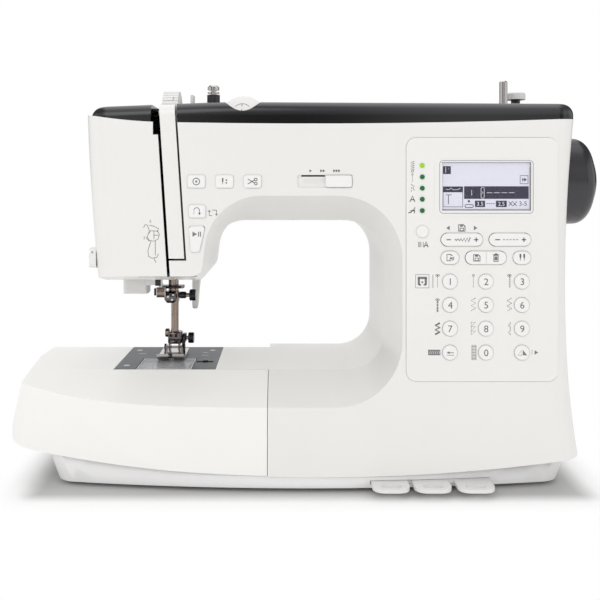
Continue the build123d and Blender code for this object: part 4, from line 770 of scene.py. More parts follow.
# foot in a frame, with the line that parts it from the keys
lines += [frame_line(72.0, 143.9, 9.2, 9.2), [(79.3, 139.3), (79.3, 148.4)]]
areas += [filled(72.0, 146.2, 6.4, 1.6), filled(69.6, 143.6, 1.5, 4.4), filled(74.4, 143.6, 1.5, 4.4)]
areas += [filled(72.0, 143.2, 1.2, 1.2), filled(70.3, 141.4, 1.6, 1.0), filled(73.7, 141.4, 1.6, 1.0)]
print("signs", len(lines), len(areas))

# %% Stitches beside the digit keys
left_of = [x - 8.5 for x in key_x]  # where a stitch stands beside its key
first, second, third = left_of
for x, count, thick in zip(left_of, (2, 1, 2), (False, False, True)):
    lines += loops(x, 147.9, count)
    lines += dashes(x, 147.0, x, 139.2, 6)
    if thick:
        lines += dashes(x + 0.5, 147.0, x + 0.5, 139.2, 6)
lines += loops(first, 131.2, 2)
areas += [filled(first, z, 1.1, 1.6) for z in (129.4, 127.4, 125.4, 123.6)]
lines += [zigzag(second, 132.3, 1.75, 5, 3.2)]
for mark in range(5):
    side = 1.6 * (-1) ** mark
    low, high = 132.3 - 1.8 * (mark + 1), 132.3 - 1.8 * mark
    lines += dashes(third + side, high, third - side, low, 3, 0.7)
heavy = [zigzag(first, 115.3 - 0.5 * i, 1.55, 5, 3.2) for i in range(2)]
for top in (115.6, 112.6, 109.6):
    low = top - 2.7
    lines += [[(second - 1.5, top), (second + 1.5, top), (second - 1.5, low), (second - 1.5, top)]]
hem = third + 0.6
lines += [[(hem, 115.8), (hem, 114.4), (hem - 1.3, 113.4), (hem, 112.4), (hem, 109.6),
           (hem - 1.3, 108.6), (hem, 107.6), (hem, 106.6)]]
areas += [filled(80.2, 94.8, 8.4, 3.8)]
lines += [frame_line(second + 0.4, 94.8, 2.9, 10.0)]
rungs = [90.6 + 1.05 * i for i in range(9)]
lines += [[(second - 1.0, z), (second + 1.8, z)] for z in rungs]
areas += [[(149.4, 93.3), (149.4, 96.3), (151.9, 94.8)]]
lines += dashes(147.6, 96.5, 147.6, 93.1, 3)
print_on("Panel_print", "housing", PANEL_Y, lines, areas, width=0.42)
print_on("Panel_print_bold", "housing", PANEL_Y, bold, width=0.7, ink=ink_dark)
print_on("Panel_print_heavy", "housing", PANEL_Y, heavy, width=0.8)
pattern = [[(77.0 + 1.3 * i, 93.7), (77.6 + 1.3 * i, 95.9)] for i in range(6)]
print_on("Panel_print_light", "housing", PANEL_Y - FILM, pattern, width=0.3, ink=ink_white)
print("panel signs", len(lines) + len(areas))

# %% [markdown]
# ## What is printed on the keys
# Each digit is centred on a 10 mm key and a little less than half as high. It is a film on the
# key's cap, so it goes in with the key when that is pressed.

# %% Key digits
DIGIT_HEIGHT = 4.7
for names, z in zip(("123", "456", "789", " 0 "), key_z):
    for x, digit in zip(key_x, names):
        if digit.isdigit():
            digit_text = [(digit, x, z, DIGIT_HEIGHT)]
            print_on(f"Digit_{digit}", f"key_{digit}", CAP_Y, texts=digit_text, ink=ink_dark)

# %% Signs on the other keys
x, z = key_x[0], key_z[3]
print_on(
    "Enter_sign", "key_enter", CAP_Y, [[(x - 2.4, z - 1.6), (x + 2.6, z - 1.6)]],
    [[(x - 2.6, z + 0.1), (x - 0.4, z + 1.0), (x - 0.4, z - 0.8)], filled(x + 1.0, z + 0.1, 2.8, 0.5)],
    width=0.36,
)
x = key_x[2]
print_on(
    "Mirror_sign", "key_mirror", CAP_Y,
    [[(x - 3.1, z - 1.7), (x - 0.3, z + 2.0), (x - 0.3, z - 1.7), (x - 3.1, z - 1.7)]],
    [[(x + 0.4, z - 1.7), (x + 3.3, z - 1.7), (x + 0.4, z + 2.0)]],
    width=0.36,
)
z = 172.6  # middle height of the two upper rockers
minus_plus = [[(88.5, z), (91.4, z)], [(107.3, z), (110.3, z)], [(108.8, z - 1.5), (108.8, z + 1.5)]]
wave = [(94.2 + 1.05 * i, z + (0.35 + 0.12 * i) * (-1) ** i) for i in range(11)]
print_on("Width_sign", "width_rocker", CAP_Y, minus_plus + [wave], width=0.7, ink=ink_dark)
minus_plus = [[(121.9, z), (125.2, z)], [(140.1, z), (143.1, z)], [(141.6, z - 1.5), (141.6, z + 1.5)]]
print_on("Length_sign", "length_rocker", CAP_Y, minus_plus, width=0.75, ink=ink_dark)
print_on("Length_stitches", "length_rocker", CAP_Y, dashes(127.2, z, 138.4, z, 5, 0.65), width=0.5)
disk_lines, disk_areas = disk_symbol(109.2, 160.1)
bin_lines = [frame_line(122.4, 159.6, 3.0, 4.0), [(120.4, 162.3), (124.4, 162.3)]]
bin_lines += [[(121.7, 162.9), (123.1, 162.9)]]
bin_lines += [[(122.4 + dx, 158.4), (122.4 + dx, 161.0)] for dx in (-0.7, 0, 0.7)]
middle = [[(115.7, 156.0), (115.7, 164.2)]]
memory_lines = disk_lines + bin_lines
print_on("Memory_sign", "memory_rocker", CAP_Y, memory_lines, disk_areas, width=0.62, ink=ink_dark)
print_on("Memory_parting", "memory_rocker", CAP_Y, middle, width=0.15)
sheet_lines = [[(91.6, 158.2), (88.7, 158.2), (88.7, 162.4), (91.4, 162.4), (92.4, 161.4)]]
sheet_lines += [[(90.6, 159.2), (93.6, 160.6)], [(91.0, 160.6), (92.8, 158.4), (93.4, 159.8)]]
print_on("Edit_sign", "edit_button", CAP_Y, sheet_lines, width=0.62, ink=ink_dark)
twin_areas = []
for x in (139.2, 141.8):
    twin_areas += [filled(x, 161.6, 1.2, 2.4), [(x - 0.35, 160.4), (x, 157.6), (x + 0.35, 160.4)]]
print_on("Twin_needle_sign", "twin_needle_button", CAP_Y, areas=twin_areas, ink=ink_dark)

# %% [markdown]
# ## What is printed on the arm
# The four head keys and the start key carry a dot in a ring, a needle with two arrows, scissors, a
# return arrow and a play sign. Marks for slow, middle and fast stand over the speed slider.

# %% Arm signs
HEAD_CAP_Y = -60.9
FRONT_Y = -59.5
head_key_x, HEAD_ROW_Z = (-83.7, -64.3, -45.0), 212.6
REVERSE_KEY = (-83.2, 192.1)
x, z = head_key_x[0], HEAD_ROW_Z
print_on(
    "Lock_sign", "lock_stitch_button", HEAD_CAP_Y, [arc(x, z, 2.3, steps=20), arc(x, z, 0.5, steps=8)],
    width=0.55, ink=ink_dark,
)
x = head_key_x[1]
print_on(
    "Needle_sign", "needle_position_button", HEAD_CAP_Y,
    areas=[
        filled(x - 1.2, z + 1.2, 1.0, 2.4), [(x - 1.5, z), (x - 1.2, z - 2.6), (x - 0.9, z)],
        [(x + 0.6, z + 0.5), (x + 1.3, z + 1.9), (x + 2.0, z + 0.5)],
        [(x + 0.6, z - 0.5), (x + 2.0, z - 0.5), (x + 1.3, z - 1.9)],
    ],
    ink=ink_dark,
)
x = head_key_x[2]
print_on(
    "Scissors_sign", "thread_cutter_button", HEAD_CAP_Y,
    [
        [(x - 3.2, z + 1.7), (x + 1.3, z - 1.0)], [(x - 3.2, z - 1.7), (x + 1.3, z + 1.0)],
        arc(x + 2.3, z + 1.4, 0.95, steps=10), arc(x + 2.3, z - 1.4, 0.95, steps=10),
    ],
    width=0.55, ink=ink_dark,
)
x, z = REVERSE_KEY
turn = arc(x - 0.2, z + 0.6, 1.9, 180, -180, 8)
print_on(
    "Reverse_sign", "reverse_button", HEAD_CAP_Y,
    [turn + [(x + 1.7, z - 1.2)], *dashes(x - 2.1, z, x - 2.1, z - 2.4, 3, 0.5)],
    [[(x + 0.8, z - 1.0), (x + 2.6, z - 1.0), (x + 1.7, z - 2.6)]],
    width=0.45, ink=ink_dark,
)
x, z = -83.7, 176.4
print_on(
    "Start_sign", "start_stop_button", HEAD_CAP_Y,
    areas=[
        [(x - 2.6, z + 1.8), (x - 2.6, z - 1.8), (x + 0.6, z)],
        filled(x + 1.6, z, 0.7, 3.4), filled(x + 2.9, z, 0.7, 3.4),
    ],
    ink=ink_grey,
)
x, z = -72.3, 190.9
arm_lines = [
    [(x - 2.6, z + 1.6), (x - 2.6, z - 1.8), (x - 0.6, z - 1.8)], [(x - 0.6, z + 2.0), (x + 2.4, z + 2.0)],
    [(x + 2.4, z + 2.0), (x + 2.4, z - 1.4)], [(x - 3.4, z + 0.8), (x - 2.6, z + 1.9), (x - 1.8, z + 0.8)],
    [(x + 1.6, z - 0.6), (x + 2.4, z - 1.7), (x + 3.2, z - 0.6)],
]
arm_areas = []
for x, count in ((-4.9, 1), (3.4, 2), (13.2, 3)):
    for i in range(count):
        left = x + 1.7 * (i - count / 2)
        arm_areas.append([(left, 218.9), (left, 221.1), (left + 1.6, 220.0)])
print_on("Arm_print", "housing", FRONT_Y, arm_lines, arm_areas, width=0.42, ink=ink_dark)

# %% [markdown]
# ## The display
# A liquid crystal display lies close behind its window, and it shines a little. Its picture is
# made like the prints: a pale sheet at the back of the window, and on it, a hair further forward,
# a setting sign, a page sign, the chosen stitch in a box, a band with the pattern so far, and a
# row of set values. Dark shapes come first and light marks lie on top of them.

# %% Display picture
SHEET_Y = -59.0
sheet_areas = [filled(116.15, 209.3, 60.7, 32.8)]
print_on("Display_sheet", "housing", SHEET_Y, areas=sheet_areas, ink=display_pale)
dark_areas = [filled(89.1, 220.5, 5.5, 5.5), filled(93.3, 207.2, 13.5, 4.0)]
dark_areas += [filled(123.3, 205.0, 44.6, 8.7)]
dark_areas += [filled(112.0, 197.2, 7.0, 4.4), filled(126.7, 197.2, 7.5, 4.4)]
dark_areas += [[(142.5, 215.2), (144.3, 213.9), (142.5, 212.6)], filled(104.3, 199.0, 1.3, 1.5)]
dark_lines = [frame_line(142.4, 213.9, 5.4, 5.6), frame_line(93.3, 202.1, 13.5, 13.9)]
dark_lines += [[(88.4, 203.4), (92.4, 203.4)], [(90.2, 203.4), (90.2, 197.0)]]
dark_lines += [arc(102.6, 195.7, 1.0, 90, 180, 6) + arc(106.4, 195.7, 1.0, 270, 180, 6) + [(102.6, 196.7)]]
dark_lines += [[(141.0, 215.0), (142.0, 213.9), (141.0, 212.8)], [(140.9, 213.9), (142.6, 213.9)]]
dark_lines += [[(131.8, 198.8), (134.4, 195.8)], [(131.8, 195.8), (134.4, 198.8), (137.4, 195.8)]]
dark_lines += [[(134.8, 195.8), (137.4, 198.8)]]
dark_lines += dashes(116.5, 197.4, 122.4, 197.4, 4, 0.7)
print_on("Display_shapes", "housing", SHEET_Y - FILM, dark_lines, dark_areas, width=0.46, ink=display_dark)
value = [("3-5", 141.7, 197.4, 3.0)]
print_on("Display_value", "housing", SHEET_Y - FILM, texts=value, ink=display_dark)
light_lines = [arc(113.8, 207.6, 1.1, 0, 180, 6) + arc(113.8, 202.2, 1.1, 180, 180, 6) + [(114.9, 207.6)]]
light_lines += [[(88.3, 222.6), (88.3, 218.6)], [(89.9, 221.4), (90.5, 221.4)]]
light_lines += [[(88.4, 207.4), (90.4, 206.9), (92.0, 208.3), (93.4, 206.9), (96.4, 207.0), (98.3, 208.0)]]
light_lines += [[(106.2, 206.7), (106.2, 203.1)], [(105.8, 204.0), (106.7, 203.4)]]
light_lines += [[(x, 204.9), (x + 3.7, 204.9)] for x in (116.7, 121.8, 126.9, 132.0)]
light_lines += [[(113.4, 205.6), (114.3, 204.9), (113.4, 204.2)]]
print_on("Display_marks", "housing", SHEET_Y - 2 * FILM, light_lines, width=0.34, ink=ink_white)
set_values = [("3.5", 112.0, 197.2, 2.7), ("2.5", 126.7, 197.2, 2.7)]
print_on("Display_settings", "housing", SHEET_Y - 2 * FILM, texts=set_values, ink=display_pale)


def soft_frame(x, z, wide, high, corner, steps=5):
    """A closed rectangle with round corners."""
    a, b = wide / 2 - corner, high / 2 - corner
    points = []
    for i, (dx, dz) in enumerate(((a, b), (-a, b), (-a, -b), (a, -b))):
        points += arc(x + dx, z + dz, corner, 90 * i, 90, steps)
    return points + points[:1]


# painted shade: grey lines round the window's rim, and a painted shadow along the sheet's lower and right
# edges
rim_shade = moulded("Window rim grey, painted shade", "#A8A8B4", 0.5, 0.5, 0.002, spread=0.02)
painted_rim_lines = [soft_frame(116.1, 208.9, 64.4, 36.4, 2.4)]
print_on("Window_rim", "housing", -60.4, painted_rim_lines, width=0.5, ink=rim_shade)
painted_window_shadow = [[(85.9, 193.3), (146.4, 193.3), (146.4, 222.5)]]
print_on("Window_shadow", "housing", SHEET_Y - FILM, painted_window_shadow, width=0.6, ink=rim_shade)

# %% [markdown]
# ## Keys with round ends
# The two rockers, the memory rocker and the two short keys beside it have half-round ends and a
# soft edge. Each one is built from a few outlines that shrink towards the front, like the contour
# lines of a hill, with a cap on top. A film of the panel's own finish, cut to the same outline,
# closes the corners of the square openings.

# %% Round-ended keys
long_keys = {
    "width_rocker": ((99.2, 172.6), (28.7, 8.8)),
    "length_rocker": ((132.3, 172.6), (28.7, 8.8)),
    "memory_rocker": ((115.7, 160.1), (28.2, 9.0)),
    "edit_button": ((91.0, 160.1), (12.4, 9.0)),
    "twin_needle_button": ((140.5, 160.1), (12.1, 9.0)),
}


def stadium(x, z, wide, high, steps=10):
    """A closed outline with half-round ends."""
    half = (wide - high) / 2
    points = arc(x + half, z, high / 2, -90, 180, steps) + arc(x - half, z, high / 2, 90, 180, steps)
    return points + points[:1]


def round_corners(points, radius, steps=5):
    """A closed outline through points whose corners are rounded."""
    made = []
    for before, here, after in zip(points[-1:] + points, points, points[1:] + points[:1]):
        here = Vector(here)
        one, two = (Vector(before) - here).normalized(), (Vector(after) - here).normalized()
        start, end = here + one * radius, here + two * radius
        for i in range(steps + 1):
            t = i / steps
            made.append(tuple(start * (1 - t) ** 2 + here * 2 * t * (1 - t) + end * t**2))
    return made + made[:1]


def lofted(rings, name):
    """A closed solid through rings of points in millimetres, smooth round its sides."""
    work = bmesh.new()
    rings = [[work.verts.new([v * MM for v in point]) for point in ring] for ring in rings]
    for low, high in zip(rings, rings[1:]):
        for i in range(len(low)):
            j = (i + 1) % len(low)
            work.faces.new((low[i], low[j], high[j], high[i]))
    work.faces.new(rings[0])
    work.faces.new(rings[-1])
    bmesh.ops.recalc_face_normals(work, faces=work.faces)
    for face in work.faces:
        face.smooth = len(face.verts) == 4
    return as_mesh(work, name)


KEY_LEVELS = ((-57.8, 0), (-60.9, 0), (-61.2, 0.12), (-61.4, 0.45))  # (y, shrink), back to front
for name, (place, (wide, high)) in long_keys.items():
    rings = []
    for y, shrink in KEY_LEVELS:
        outline = stadium(*place, wide - 2 * shrink, high - 2 * shrink)[:-1]
        rings.append([(x, y, z) for x, z in outline])
    key_piece = add_piece(lofted(rings, name), f"Round_{name}", name, [key_white])
    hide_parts(name)


# %% Films round the keys
SHEET_THICK = 0.05
GAP = 0.4  # room round a key


def film_with_hole(outer, inner, y, name):
    """A thin sheet between two outlines, standing on the face at depth y."""
    work = bmesh.new()
    for ring in (outer, inner):
        corners = [work.verts.new((px * MM, y * MM, pz * MM)) for px, pz in ring]
        for i in range(len(corners)):
            work.edges.new((corners[i - 1], corners[i]))
    bmesh.ops.triangle_fill(work, edges=work.edges, use_beauty=True, normal=(0, -1, 0))
    thicken(work, list(work.faces), (0, -SHEET_THICK, 0))
    bmesh.ops.recalc_face_normals(work, faces=work.faces)
    return as_mesh(work, name)


films = []
for name, (place, (wide, high)) in long_keys.items():
    outer = soft_frame(*place, wide + 2.2, high + 1.8, 3.0)[:-1]
    inner = stadium(*place, wide + 2 * GAP, high + 2 * GAP)[:-1]
    films.append(film_with_hole(outer, inner, PANEL_Y, f"Film_{name}"))
add_piece(joined(films, "Key_films"), "Key_opening_films", "housing", [panel_film])
print("round-ended keys", len(films))

# %% [markdown]
# ## The mat behind the keys
# Keys like these press on one moulded rubber mat, whose ribs rise into the gaps round the keys and
# keep dust out. Each rib is a ribbon as wide as its gap, a little below the face. Its grey is painted
# shade, which stands in for the shade in the gap, so that a key is edged by a soft grey line.

# %% Key mat with painted gap shade
mat_pale_painted_gap_shade = moulded("Key mat pale rubber, painted gap shade", "#E9E6E2", 0.6, 0.8, 0.01)
mat_warm_painted_gap_shade = moulded("Key mat warm grey rubber, painted gap shade", "#C4BDB6", 0.6, 0.8, 0.01)
RIB = GAP - 0.03  # width of a rib, a hair less than its gap
rings = [arc(x, z, 5.05 + GAP / 2, steps=28) for x in key_x for z in key_z]
# a rocker tilts and its ends move sideways, so it has ribs along its straight sides only
rocker_ribs = []
for name, (place, (wide, high)) in long_keys.items():
    if "button" in name:
        rings.append(stadium(*place, wide + GAP, high + GAP))
    else:
        reach = (wide - high) / 2
        for side in (-1, 1):
            z = place[1] + side * (high + GAP) / 2
            rocker_ribs.append([(place[0] - reach, z), (place[0] + reach, z)])
print_on("Rocker_mat", "housing", PANEL_Y + 0.2, rocker_ribs, width=RIB, ink=mat_warm_painted_gap_shade)
print_on("Panel_key_mat", "housing", PANEL_Y + 0.2, rings, width=RIB, ink=mat_warm_painted_gap_shade)
head_rings = [soft_frame(x, HEAD_ROW_Z, 12.3 + GAP, 8.8 + GAP, 2.0) for x in head_key_x]
head_rings += [soft_frame(*REVERSE_KEY, 11.7 + GAP, 8.9 + GAP, 2.0)]
corners = [(-89.3, 182.0), (-77.3, 182.0), (-81.4, 163.7), (-87.8, 163.7)]
head_rings += [round_corners(corners, 2.0)]
print_on("Head_key_mat", "housing", FRONT_Y + 0.12, head_rings, width=RIB, ink=mat_pale_painted_gap_shade)
mode_ring = [arc(72.0, 178.2, 4.15 + GAP / 2, steps=24)]
print_on("Mode_key_mat", "housing", PANEL_Y + 0.1, mode_ring, width=RIB, ink=mat_pale_painted_gap_shade)
print("mat ribs", len(rings) + len(head_rings))

# %% [markdown]
# ## Prints that follow a curved face
# The head is slightly rounded and the dials are round, so a print made flat is then laid on them:
# every point is sent back along Y until it meets the solid, and stays a film's height in front.


# %% Laying a print on a solid
IN_FRONT = -0.3  # where the rays start, in metres
OUT = 0.6  # share of the film's height by which a print is moved out from where a ray lands


def laid_on(node, name, body, strokes=(), areas=(), texts=(), width=0.4, ink=None, y=-80):
    """A print that follows a solid's front; it is drawn as seen from the front."""
    ink = ink or ink_grey
    piece = print_on(name, body, y, strokes, areas, texts, width, ink)
    solid = nodes[node].data
    target = BVHTree.FromPolygons([v.co for v in solid.vertices], [p.vertices for p in solid.polygons])
    missed = 0
    for vertex in piece.data.vertices:
        proud = y * MM - vertex.co.y
        start = Vector((vertex.co.x, IN_FRONT, vertex.co.z))
        spot = target.ray_cast(start, Vector((0, 1, 0)))[0]
        if spot is None:
            missed += 1
        else:
            vertex.co.y = spot.y - proud - FILM * MM * OUT
    print(name, "points off the solid", missed)
    return piece


# %% Threading signs on the head
GRID = 0.138  # one step of the threading drawing's grid, in millimetres


def sign(points):
    """Points on the head, from steps to the right and down on the drawing's grid."""
    return [(GRID * u - 160.64, 282.53 - GRID * v) for u, v in points]


threading = [
    [(293, 738), (300, 722), (312, 725), (322, 752), (318, 768), (308, 790), (322, 805)],
    [(318, 768), (330, 752), (365, 755), (372, 775), (365, 795), (345, 805), (320, 800), (312, 785)],
    [(345, 752), (345, 795)], [(345, 775), (368, 775)],
    [(322, 725), (345, 730), (368, 742), (360, 760)],
    [(330, 805), (315, 850), (318, 880), (335, 890), (360, 885), (368, 868)],
    [(352, 805), (352, 875)], [(345, 890), (355, 912)],
]
laid_on(
    "face_cover", "Threading_sign", "housing", [sign(stroke) for stroke in threading],
    texts=[("5", -115.5, 185.2, 2.0), ("7", -119.65, 173.5, 2.0)], width=0.4, ink=ink_grey,
)

# %% Marks on the dials
dial_marks = [[(-108.2, 269.4), (-97.8, 269.4)]]
laid_on(
    "tension_dial", "Tension_mark", "tension_dial", dial_marks,
    texts=[("3", -100.8, 270.9, 2.0)], width=0.35, ink=ink_dark,
)
dome_marks = [arc(-52.7, 261.3, 6.5, 138, -96, 8)]
laid_on(
    "pressure_dial", "Pressure_mark", "pressure_dial", dome_marks,
    [[(-53.7, 261.6), (-52.1, 261.6), (-52.9, 263.6)]], [("0", -52.9, 266.6, 1.8)],
    width=0.4, ink=ink_dark,
)

# %% [markdown]
# ## Speed slider, black screws and foot details
# Behind the slider's slit lies a white strip, so that the slit never shows the inside; along its
# upper edge lies a black line, which is a painted shadow. The thumb screws are blackened steel with
# knurled heads, which are ribs
# round a drum: a Geometry Nodes tree sets one small bar on each point of a circle.

# %% Slider strip
strip = [filled(4.9, 212.8, 35.0, 3.6)]
print_on("Slider_strip", "housing", -57.9, areas=strip, ink=fitting_white)
# painted shadow: a black line along the upper edge of the slit
print_on("Slider_shade", "housing", -58.4, [[(-11.3, 216.5), (5.0, 216.5)]], width=1.1, ink=fitting_black)


# %% Knurled heads
def knurl_tree():
    """A drum with ribs round it."""
    kinds = {"Radius": "Float", "Width": "Float", "Ribs": "Int", "Metal": "Material"}
    tree, given = open_tree("Knurled head", **kinds)
    drum = put(
        tree, "GeometryNodeMeshCylinder",
        {"Vertices": 32, "Radius": given["Radius"], "Depth": given["Width"]},
    )
    ring = {"Vertices": given["Ribs"], "Radius": given["Radius"]}
    circle = put(tree, "GeometryNodeMeshCircle", ring)
    facing = put(tree, "GeometryNodeInputPosition")
    turned = put(
        tree, "FunctionNodeAlignEulerToVector", {"Vector": facing.outputs["Position"]}, axis="X"
    )
    long = put(tree, "ShaderNodeMath", {0: given["Width"], 1: 0.8}, operation="MULTIPLY")
    size = put(tree, "ShaderNodeCombineXYZ", {"X": 0.7 * MM, "Y": 0.45 * MM, "Z": long.outputs[0]})
    bar = put(tree, "GeometryNodeMeshCube", {"Size": size.outputs["Vector"]})
    ribs = put(
        tree, "GeometryNodeInstanceOnPoints",
        {
            "Points": circle.outputs["Mesh"], "Instance": bar.outputs["Mesh"],
            "Rotation": turned.outputs["Rotation"],
        },
    )
    both = put(tree, "GeometryNodeJoinGeometry")
    tree.links.new(drum.outputs["Mesh"], both.inputs["Geometry"])
    tree.links.new(ribs.outputs["Instances"], both.inputs["Geometry"])
    return close_tree(tree, both.outputs["Geometry"], given["Metal"])


knurled = knurl_tree()
ALONG_X = Matrix.Rotation(radians(90), 4, "Y")


def knurled_head(name, body, centre, radius, wide, ribs, metal):
    """A knurled head whose axis lies along X, centred on a point in millimetres."""
    settings = {"Radius": radius * MM, "Width": wide * MM, "Ribs": ribs, "Metal": metal}
    mesh = run_tree(knurled, bpy.data.meshes.new(name), name, settings)
    mesh.transform(Matrix.Translation([v * MM for v in centre]) @ ALONG_X)
    return add_piece(mesh, name, body, [metal])


screw_parts = {
    "Needle_screw_head": ("needle_bar", (-94.7, 20, 124), 4.1, 4.8, 26, blued_steel),
    "Needle_screw_sleeve": ("needle_bar", (-102.6, 20, 124), 2.3, 5.4, 6, blued_steel),
    "Foot_screw_head": ("presser_bar", (-97.4, 33.5, 88), 3.9, 4.4, 24, blued_steel),
    "Foot_screw_sleeve": ("presser_bar", (-102.9, 33.5, 88), 2.5, 3.4, 6, blued_steel),
    "Foot_release_head": ("presser_bar", (-116.4, 33.5, 92.0), 3.0, 3.2, 20, bar_steel),
}
for name, values in screw_parts.items():
    knurled_head(name, *values)


# %% Thread guide, clamp front and lever
def superoval(z, x, y, a, b, corner, steps=16):
    """Points round a level oval; a and b are its half width and depth, corner squares it off."""
    ring = []
    for i in range(steps):
        t = 2 * pi * i / steps
        c, d = cos(t), sin(t)
        across = a * abs(c) ** corner * (1 if c > 0 else -1)
        back = b * abs(d) ** corner * (1 if d > 0 else -1)
        ring.append((x + across, y + back, z))
    return ring


def upright_piece(name, body, slot, finish, corner, *levels):
    """An upright solid through ovals; levels are (z, x, y, half width, half depth) in mm."""
    mesh = lofted([superoval(*level, corner) for level in levels], name)
    return add_piece(mesh, name, body, [finish])


upright_piece(
    "Needle_thread_guide", "needle_bar", "small_dark", blued_steel, 0.3,
    (129.8, -111, 19, 9.7, 5.3), (131.7, -111, 19, 9.7, 5.3),
)
upright_piece(
    "Needle_clamp_boss", "needle_bar", "chrome", dark_chrome, 0.8,
    (118.6, -111.5, 17.5, 3.6, 4.2), (121, -111.5, 17, 5.2, 5.0),
    (125, -111.5, 17, 5.2, 5.0), (127.6, -111.5, 17.5, 3.8, 4.2),
)
lever = upright_piece(
    "Lifting_lever", "presser_lever", "small_white", lever_white, 0.6,
    (107.0, -97.4, 65.0, 1.6, 2.2), (107.6, -97.4, 65.0, 2.3, 2.9), (110, -97.3, 64.8, 2.7, 3.2),
    (116, -97.0, 64.0, 2.9, 3.3), (124, -96.5, 62.3, 3.2, 3.6), (132, -95.9, 60.6, 3.6, 3.9),
    (139, -95.2, 59.2, 4.2, 4.2), (146, -95.0, 57.6, 4.4, 4.6), (152, -95.5, 56.5, 3.9, 5.2),
    (156, -95.5, 56.2, 3.9, 4.6),
)
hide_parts("presser_lever")

# %% Screws and marks on the needle plate
PLATE_TOP = 74.62  # where a print's middle lies, in millimetres
LIE_FLAT = Matrix.Translation((0, 0, PLATE_TOP * MM))
ON_SCREWS = Matrix.Translation((0, 0, (PLATE_TOP + FILM) * MM))
screw_spots = ((-141.4, -8), (-141.4, 50), (-81.5, 50))
heads = [arc(px, py, 2.3, steps=16)[:-1] for px, py in screw_spots]
print_on("Plate_screws", "housing", 0, areas=heads, ink=chrome, place=LIE_FLAT)
slots = [[(px - 1.6, py + 0.5), (px + 1.6, py - 0.5)] for px, py in screw_spots]
guide_lines = [[(-88.5, 29.8), (-83.0, 29.8)], [(-139.5, 36.0), (-134.0, 36.0)]]
guide_lines += [[(-88.5, 40), (-84.5, 40)]]
print_on("Plate_slots", "housing", 0, slots, width=0.5, ink=blued_steel, place=ON_SCREWS)
print_on("Plate_marks", "housing", 0, guide_lines, width=0.8, ink=ink_white, place=LIE_FLAT)

# %% Small parts round the needle
upright_piece(
    "Foot_holder", "presser_bar", "chrome", dark_chrome, 0.35,
    (83.8, -110, 33.5, 5.0, 4.6), (84.6, -110, 33.5, 5.7, 5.2),
    (92.4, -110, 33.5, 5.7, 5.2), (93.4, -110, 33.5, 4.8, 4.4),
)
upright_piece(
    "Foot_strut", "presser_bar", "small_dark", blued_steel, 0.6,
    (80.8, -103.4, 31.5, 1.0, 2.2), (84, -103.2, 31.5, 1.3, 2.4), (92, -102.2, 31.5, 1.5, 2.4),
)
for side, x in (("left", -118.0), ("right", -103.0)):
    place = (x, 33.5, 80.5)
    knurled_head(f"Foot_pin_head_{side}", "presser_foot", place, 2.3, 1.6, 18, blued_steel)
threader_parts = {
    "guard": ("small_dark", fitting_black, 0.4, (132.6, 138.4), (-120.4, 10.4, 2.2, 2.8)),
    "sleeve": ("chrome", bar_steel, 0.3, (123.8, 131.2), (-118.0, 10, 3.7, 3.2)),
    "stop": ("small_dark", fitting_black, 0.4, (125.2, 130.4), (-122.4, 10, 1.0, 2.6)),
}
for name, (slot, finish, corner, ends, oval) in threader_parts.items():
    levels = [(z, *oval) for z in ends]
    upright_piece(f"Threader_{name}", "needle_threader", slot, finish, corner, *levels)
# painted highlights: small white discs on the clamp's front stand in for glints
painted_glint_spots = ((-113.2, 123.6, 0.9), (-110.0, 121.2, 0.8), (-109.2, 125.0, 0.7))
painted_glint_discs = [arc(*glint_spot, steps=10)[:-1] for glint_spot in painted_glint_spots]
print_on("Clamp_studs", "needle_bar", 11.9, areas=painted_glint_discs, ink=key_white)
# painted highlight: white lines round the clear cover's edges
painted_rim_lines = [[(-131.9, -19.9), (-92.1, -19.9), (-92.1, 17.9), (-131.9, 17.9), (-131.9, -19.9)]]
print_on("Cover_rim", "bobbin_cover", 0, painted_rim_lines, width=0.6, ink=ink_white, place=LIE_FLAT)
# painted shade: a black sheet behind the head's slots stands in for the shade inside them
painted_slot_shade_sheet = [[(-117, 228), (-91.5, 228), (-91.5, 148), (-110, 148)]]
print_on("Slot_liner", "housing", -50.5, areas=painted_slot_shade_sheet, ink=latch_black)

# %% [markdown]
# ## The floor and the light
# The machine stands on a seamless white sweep, under soft light from all round that is a little
# stronger from the front and above. The lamps are kept low enough that the white covers stay
# below pure white. The sweep is white paper. Further out it turns to pure white for the camera,
# so that it meets the white world with no edge; near the machine it keeps the rendered shadow, and its
# colour darkens to grey there as a painted shadow.
# Chrome looks like chrome only where it has something dark to show, so for reflections the world
# has dark bands, as a studio has black boards and a dark room in front.

# %% Floor
NEAR, FAR = 0.002, 0.036  # metres from the tray where the paper starts and ends its way to white
TRAY_MIDDLE, TRAY_HALF = (-0.0068, 0.0075, 0.0), (0.1830, 0.0750, 1.0)
sweep = bpy.data.meshes.new("Sweep")
sweep.from_pydata([(-6, -3, 0), (6, -3, 0), (6, 9, 0), (-6, 9, 0)], [], [(0, 1, 2, 3)])
floor = bpy.data.objects.new("Floor", sweep)
bpy.context.scene.collection.objects.link(floor)
paper, paper_tree, paper_shader, paper_place = start_finish(
    "White paper sweep", Roughness=0.7, Specular_IOR_Level=0.1
)
# the distance from the tray's rectangle, worked out on a point's own coordinates
steps_away = [("SUBTRACT", TRAY_MIDDLE), ("ABSOLUTE", None)]
steps_away += [("SUBTRACT", TRAY_HALF), ("MAXIMUM", (0.0, 0.0, 0.0)), ("LENGTH", None)]
beyond = paper_place
for operation, other in steps_away:
    filled_in = {0: beyond} if other is None else {0: beyond, 1: other}
    step = put(paper_tree, "ShaderNodeVectorMath", filled_in, operation=operation)
    beyond = step.outputs["Value" if operation == "LENGTH" else "Vector"]
fade = put(
    paper_tree, "ShaderNodeMapRange", {"Value": beyond, "From Min": NEAR, "From Max": FAR},
    interpolation_type="SMOOTHSTEP",
)
